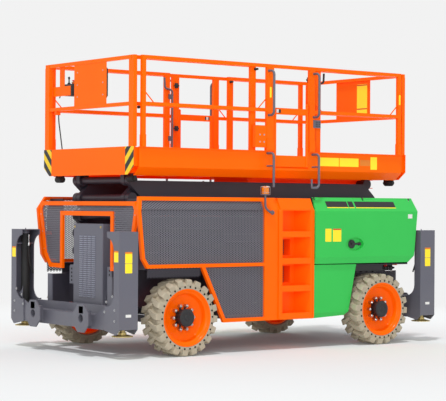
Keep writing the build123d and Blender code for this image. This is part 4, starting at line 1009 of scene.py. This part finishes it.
def isolators(shape):
    """Battery isolator switches under the rear ends of the hoods."""
    for side, where in SIDES:
        box_in(shape, (1.636, side * 0.900, 0.905), (1.680, side * 0.945, 0.965), 0.005)
        turned_in(shape, [(0, 0), (0.018, 0), (0.018, 0.008), (0.013, 0.012), (0, 0.012)],
                  (1.658, side * 0.945, 0.935), (0, side, 0), 20)
        box_in(shape, (1.652, side * 0.954, 0.918), (1.664, side * 0.966, 0.952), 0.003)


keep("battery_isolators", isolators, "chassis", RED_PLASTIC)

# ------------------------------------------------------------ platform controls
def control_face(shape):
    """A joystick with a boot and a row of four toggle switches."""
    base = Vector((-1.905, 0.540, 3.010))
    turned_in(shape, [(0.022, 0), (0.021, 0.006), (0.017, 0.010), (0.018, 0.014), (0.013, 0.020),
                      (0.008, 0.026), (0.007, 0.060), (0.012, 0.066), (0.013, 0.082), (0.008, 0.090),
                      (0, 0.092)], base, (0, 0, 1), 20)
    for k in range(4):
        turned_in(shape, [(0, 0), (0.007, 0), (0.007, 0.003), (0.0025, 0.005), (0.003, 0.018), (0, 0.019)],
                  (-1.925 + 0.022 * k, 0.432, 3.010), (0, 0, 1), 10)


shade_smooth(keep("joystick_and_switches", control_face, "slide_front", BLACK_PLASTIC))


STOP_BUTTON = [(0, 0), (0.010, 0), (0.010, 0.012), (0.020, 0.014), (0.0215, 0.018), (0.0195, 0.024),
               (0.010, 0.0268), (0, 0.0275)]
STOP_COLLAR = [(0, 0), (0.030, 0), (0.030, 0.003), (0.026, 0.0045), (0, 0.0045)]
for name, profile, z, finish in (("stop_button", STOP_BUTTON, 3.034, RED_PLASTIC),
                                 ("stop_button_collar", STOP_COLLAR, 3.0335, YELLOW_PLASTIC)):
    shade_smooth(keep(name, lambda shape: turned_in(
        shape, profile, (-1.875, 0.485, z), (0, 0, 1), 28), "slide_front", finish))

# ------------------------------------------------------------ gates, posts and handles
for side, where in SIDES:
    low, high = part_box(f"gate_{where}")
    free = low.x if side < 0 else high.x
    way = 1 if side < 0 else -1

    keep(f"gate_latch_slide_{where}", lambda shape: box_in(
        shape, (free + way * 0.055, side * 0.940, 2.700),
        (free + way * 0.085, side * 0.9515, 2.742), 0.002), f"gate_{where}", BLACK_PLASTIC)
    keep(f"gate_latch_plate_{where}", lambda shape: box_in(
        shape, (free + way * 0.022, side * 0.940, 2.702),
        (free + way * 0.055, side * 0.9495, 2.740), 0.002), f"gate_{where}", WHITE_FILM)


def star_knob(shape, centre, out):
    """A six-lobed hand knob on a short stud."""
    place = facing(Vector(centre), out)
    outline = []
    for k in range(48):
        angle = 2 * math.pi * k / 48
        radius = 0.031 + 0.0055 * math.cos(6 * angle)
        outline.append((radius * math.cos(angle), radius * math.sin(angle)))
    plate_in(shape, outline, 0.018, place)
    turned_in(shape, [(0, 0), (0.013, 0), (0.013, -0.016), (0, -0.016)], centre, out, 16)
    turned_in(shape, [(0.0, 0.018), (0.016, 0.018), (0.013, 0.023), (0, 0.024)], centre, out, 20)


def rail_knobs(shape):
    """Clamping knobs on the inner faces of the posts beside the gates."""
    for x, side in ((-0.147, 1), (0.487, -1)):
        for z in (2.580, 3.105):
            star_knob(shape, (x, side * 0.887, z), (0, -side, 0))


keep("rail_knobs", rail_knobs, "platform", BLACK_PLASTIC)

RAIL_FACE_Y = 0.945          # the outer face of the rails' posts
# Small yellow films on the posts, blank.
films("post_films_platform", "platform", YELLOW_FILM, [
    ((x, side * (RAIL_FACE_Y + LIFT), 2.930), (0, side, 0), 0.026, 0.120)
    for x, side in ((-0.137, -1), (1.877, -1), (0.487, 1), (-1.883, 1))])

# ------------------------------------------------------------ platform details


def panel_board(shape):
    """A black board with cut corners behind the square panel at the front."""
    low_y, high_y, low_z, high_z, cut = -0.350, 0.270, 2.815, 3.150, 0.022
    plate_in(shape, [(low_y, low_z + cut), (low_y + cut, low_z), (high_y - cut, low_z), (high_y, low_z + cut),
                     (high_y, high_z - cut), (high_y - cut, high_z), (low_y + cut, high_z),
                     (low_y, high_z - cut)], 0.016, across_x(-1.974))


keep("panel_board", panel_board, "slide_front", BLACK_PLASTIC)
fit_on("panel_screws", HEX_HEADS, 0.013, spots_on(
    [(y, z) for y in (-0.300, 0.220) for z in (2.850, 2.985, 3.120)], (-1, 0, 0), 0, -1.992),
    "slide_front", ZINC)
fit_on("document_box_screws", HEX_HEADS, 0.014, spots_on(
    [(x, z) for x in (-0.285, -0.225) for z in (2.363, 2.444)], (0, -1, 0), 1, -0.940), "platform", ZINC)

# A blank yellow film with two red lines on the rear panel's inner face.
films("panel_film_yellow", "slide_rear", YELLOW_FILM, [((1.9878, -0.145, 2.980), (-1, 0, 0), 0.190, 0.385)])
films("panel_film_red", "slide_rear", RED_FILM, [
    ((1.9873, -0.145, z), (-1, 0, 0), 0.190, 0.014) for z in (3.161, 2.862)])


def control_covers(shape):
    """Black shells over the control box and its handset, on their orange bracket."""
    x = -1.955
    box_in(shape, (x + 0.0045, 0.398, 2.878), (x + 0.152, 0.572, 3.012), 0.004)
    box_in(shape, (x + 0.006, 0.628, 3.030), (x + 0.034, 0.668, 3.190), 0.006)
    for k in range(5):
        box_in(shape, (x + 0.034, 0.634, 3.048 + 0.027 * k), (x + 0.038, 0.662, 3.064 + 0.027 * k), 0.0015)
    tube_in(shape, [(x + 0.020, 0.648, 3.032), (x + 0.020, 0.648, 2.985), (x + 0.030, 0.672, 2.930),
                    (x + 0.016, 0.690, 2.860)], 0.006, 8, 5)


shade_smooth(keep("control_covers", control_covers, "slide_front", BLACK_PLASTIC))


def ear_shells(shape):
    """Black-painted ears of the uppermost fixed pivots, a shell over the deck's own."""
    for side, where in SIDES:
        near, far = sorted((side * 0.4195, side * 0.4905))
        turned_in(shape, [(0.022, 0), (0.0630, 0), (0.0630, far - near), (0.022, far - near)],
                  (-1.770, near, 1.912), (0, 1, 0), 40, ring=True)
        box_in(shape, (-1.833, near, 1.912), (-1.707, far, 1.984))


keep("pivot_ear_shells", ear_shells, "platform", DARK)


def bumper_rubbers(shape):
    """Rubber rollers on the rests under the deck's corners."""
    for x in (-1.900, 1.900):
        for side, where in SIDES:
            turned_in(shape, [(0.020, 0), (0.034, 0), (0.038, 0.006), (0.038, 0.116), (0.034, 0.122),
                              (0.020, 0.122)], (x, side * 0.672, 1.925), (0, side, 0), 24, ring=True)


shade_smooth(keep("bumper_rubbers", bumper_rubbers, "platform", BLACK_RUBBER))


def post_plate(shape):
    """A small plate that stands out from the post beside the gate."""
    plate_in(shape, window(0.500, 2.545, 0.612, 2.637), 0.004,
             Matrix(((1, 0, 0, 0), (0, 0, -1, -RAIL_FACE_Y - LIFT), (0, 1, 0, 0), (0, 0, 0, 1))))


keep("post_plate", post_plate, "platform", GREY)
# The plate's holes are near-black discs: painted shade.
fit_on("post_plate_holes", ROUND_HOLES, 0.013, spots_on(
    [(x, z) for x in (0.545, 0.568, 0.591) for z in (2.568, 2.591, 2.614)], (0, -1, 0), 1, -0.9495),
    "platform", HOLE_SHADE)


def locking_pins(shape, places):
    """Detent pins through the rail ends: a grip, a thin shank and a collar each."""
    for place in places:
        turned_in(shape, [(0, 0), (0.015, 0), (0.016, 0.004), (0.016, 0.022), (0.013, 0.027), (0.006, 0.029),
                          (0.006, 0.044), (0.0125, 0.046), (0.0125, 0.050), (0, 0.051)],
                  place, (0, -1, 0), 16)


PINS = {"slide_front": [(-1.905, -0.860, 2.690), (-1.905, 0.820, 2.690), (-0.300, -0.860, 3.188)],
        "slide_rear": [(1.915, -0.860, 2.690), (1.915, 0.820, 2.690), (0.640, 0.820, 3.188)]}
for body, places in PINS.items():
    shade_smooth(keep(f"locking_pins_{body}", lambda shape: locking_pins(shape, places), body,
                      BLACK_PLASTIC))


handle_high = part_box("grab_handles")[1]
HANDLE_RADIUS = 0.012


def handle_hooks(shape):
    """The turned-up ends of the two lower handles beside the hoods."""
    for side, where in SIDES:
        y = side * (handle_high.y - HANDLE_RADIUS)
        tube_in(shape, [(0.430, y, 1.848), (0.396, y, 1.848), (0.396, y, 1.872), (0.396, y, 1.945)],
                HANDLE_RADIUS, 14, 6)


shade_smooth(keep("handle_hooks", handle_hooks, "platform", GREY))

for side, where in SIDES:
    inner = 0.911
    low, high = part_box(f"gate_{where}")
    x = (low.x if side < 0 else high.x) - side * 0.085
    films(f"gate_catch_plate_{where}", f"gate_{where}", BLACK_FILM, [
        ((x, side * (inner - LIFT), 2.722), (0, -side, 0), 0.070, 0.038)])
    films(f"gate_catch_white_{where}", f"gate_{where}", WHITE_FILM, [
        ((x, side * (inner - UPPER_LIFT), 2.722), (0, -side, 0), 0.034, 0.038)])


# Chequer sheets: body, ends, half width, lower and upper face.  The fixed deck's is thinner,
# so that the sliding decks' pads pass over it.
for name, body, low_x, high_x, half, low_z, high_z in (
        ("front", "slide_front", -1.990, -0.290, 0.886, 2.0622, 2.0628),
        ("rear", "slide_rear", 0.617, 1.990, 0.886, 2.0622, 2.0628),
        ("deck", "platform", -1.922, 1.922, 0.917, 2.0480, 2.0482)):
    keep(f"chequer_sheet_{name}", lambda shape: box_in(
        shape, (low_x, -half, low_z), (high_x, half, high_z)), body, CHEQUER)


def seam_strips(shape):
    """Backing strips behind the seams between the side guards, the ladders and the hoods."""
    for side, where in SIDES:
        for low_x, high_x in ((-0.099, -0.072), (0.408, 0.4285)):
            plate_in(shape, [(1.064, 0.348), (1.064, 1.580), (0.974, 1.722), (0.966, 1.718),
                             (1.056, 1.576), (1.056, 0.348)], high_x - low_x, across_x(low_x, side))


keep("seam_strips", seam_strips, "chassis", ORANGE)

# ------------------------------------------------------------ stage and light
floor_mesh = bpy.data.meshes.new("floor")
floor_mesh.from_pydata([(-60, -60, 0), (60, -60, 0), (60, 60, 0), (-60, 60, 0)], [], [(0, 1, 2, 3)])
floor = linked("floor", floor_mesh)
floor_paint = bpy.data.materials.new("pale_floor")
floor_tree = bare_tree(floor_paint)
floor_paint_shade = add_node(floor_tree, "ShaderNodeBsdfDiffuse", {"Color": colour("#E6E9EA")})
floor_lift = add_node(floor_tree, "ShaderNodeEmission", {"Color": colour("#FFFFFF"), "Strength": 0.055})
floor_shader = add_node(floor_tree, "ShaderNodeAddShader", {
    0: floor_paint_shade.outputs["BSDF"], 1: floor_lift.outputs["Emission"]})
# Between 4 m and 9 m the floor melts into the backdrop, so that no edge shows.
floor_place = add_node(floor_tree, "ShaderNodeTexCoord").outputs["Object"]
floor_reach = add_node(floor_tree, "ShaderNodeVectorMath", {0: floor_place}, operation="LENGTH")
melt = add_node(floor_tree, "ShaderNodeMapRange", {
    "Value": floor_reach.outputs["Value"], "From Min": 4.0, "From Max": 9.0}, interpolation_type="SMOOTHSTEP")
floor_rays = add_node(floor_tree, "ShaderNodeLightPath")
floor_seen = maths(floor_tree, "MAXIMUM", floor_rays.outputs["Is Camera Ray"],
                   floor_rays.outputs["Is Glossy Ray"])
melt_seen = maths(floor_tree, "MULTIPLY", melt.outputs["Result"], floor_seen)
backdrop = add_node(floor_tree, "ShaderNodeEmission", {"Color": colour("#F2F2F2"), "Strength": 1.0})
floor_mix = add_node(floor_tree, "ShaderNodeMixShader", {
    0: melt_seen, 1: floor_shader.outputs["Shader"], 2: backdrop.outputs["Emission"]})
add_node(floor_tree, "ShaderNodeOutputMaterial", {"Surface": floor_mix.outputs["Shader"]})
floor_mesh.materials.append(floor_paint)

world = bpy.data.worlds.new("studio")
bpy.context.scene.world = world
world_tree = bare_tree(world)
rays = add_node(world_tree, "ShaderNodeLightPath")
seen = maths(world_tree, "MAXIMUM", rays.outputs["Is Camera Ray"], rays.outputs["Is Glossy Ray"])
seen = maths(world_tree, "MAXIMUM", seen, rays.outputs["Is Transmission Ray"])
soft = add_node(world_tree, "ShaderNodeBackground", {"Color": colour("#FFFFFF"), "Strength": 0.48})
plain = add_node(world_tree, "ShaderNodeBackground", {"Color": colour("#F2F2F2"), "Strength": 1.0})
mixed = add_node(world_tree, "ShaderNodeMixShader", {
    0: seen, 1: soft.outputs["Background"], 2: plain.outputs["Background"]})
add_node(world_tree, "ShaderNodeOutputWorld", {"Surface": mixed.outputs["Shader"]})


def soft_lamp(name, place, aim, size, watts):
    """A square soft box that points at a place."""
    data = bpy.data.lights.new(name, "AREA")
    data.shape = "SQUARE"
    data.size = size
    data.energy = watts
    lamp = linked(name, data)
    way = Vector(place) - Vector(aim)
    lamp.matrix_world = Matrix.Translation(place) @ way.to_track_quat("Z", "Y").to_matrix().to_4x4()


soft_lamp("front_lamp", (-10.0, -12.0, 5.5), (0, 0, 1.4), 6.0, 620)
soft_lamp("rear_lamp", (8.0, 9.0, 6.0), (0, 0, 1.4), 6.0, 420)
sun_data = bpy.data.lights.new("high_sun", "SUN")
sun_data.energy = 1.42
sun_data.angle = math.radians(5)
sun = linked("high_sun", sun_data)
sun.matrix_world = Vector((-0.30, -0.22, 1.0)).to_track_quat("Z", "Y").to_matrix().to_4x4()
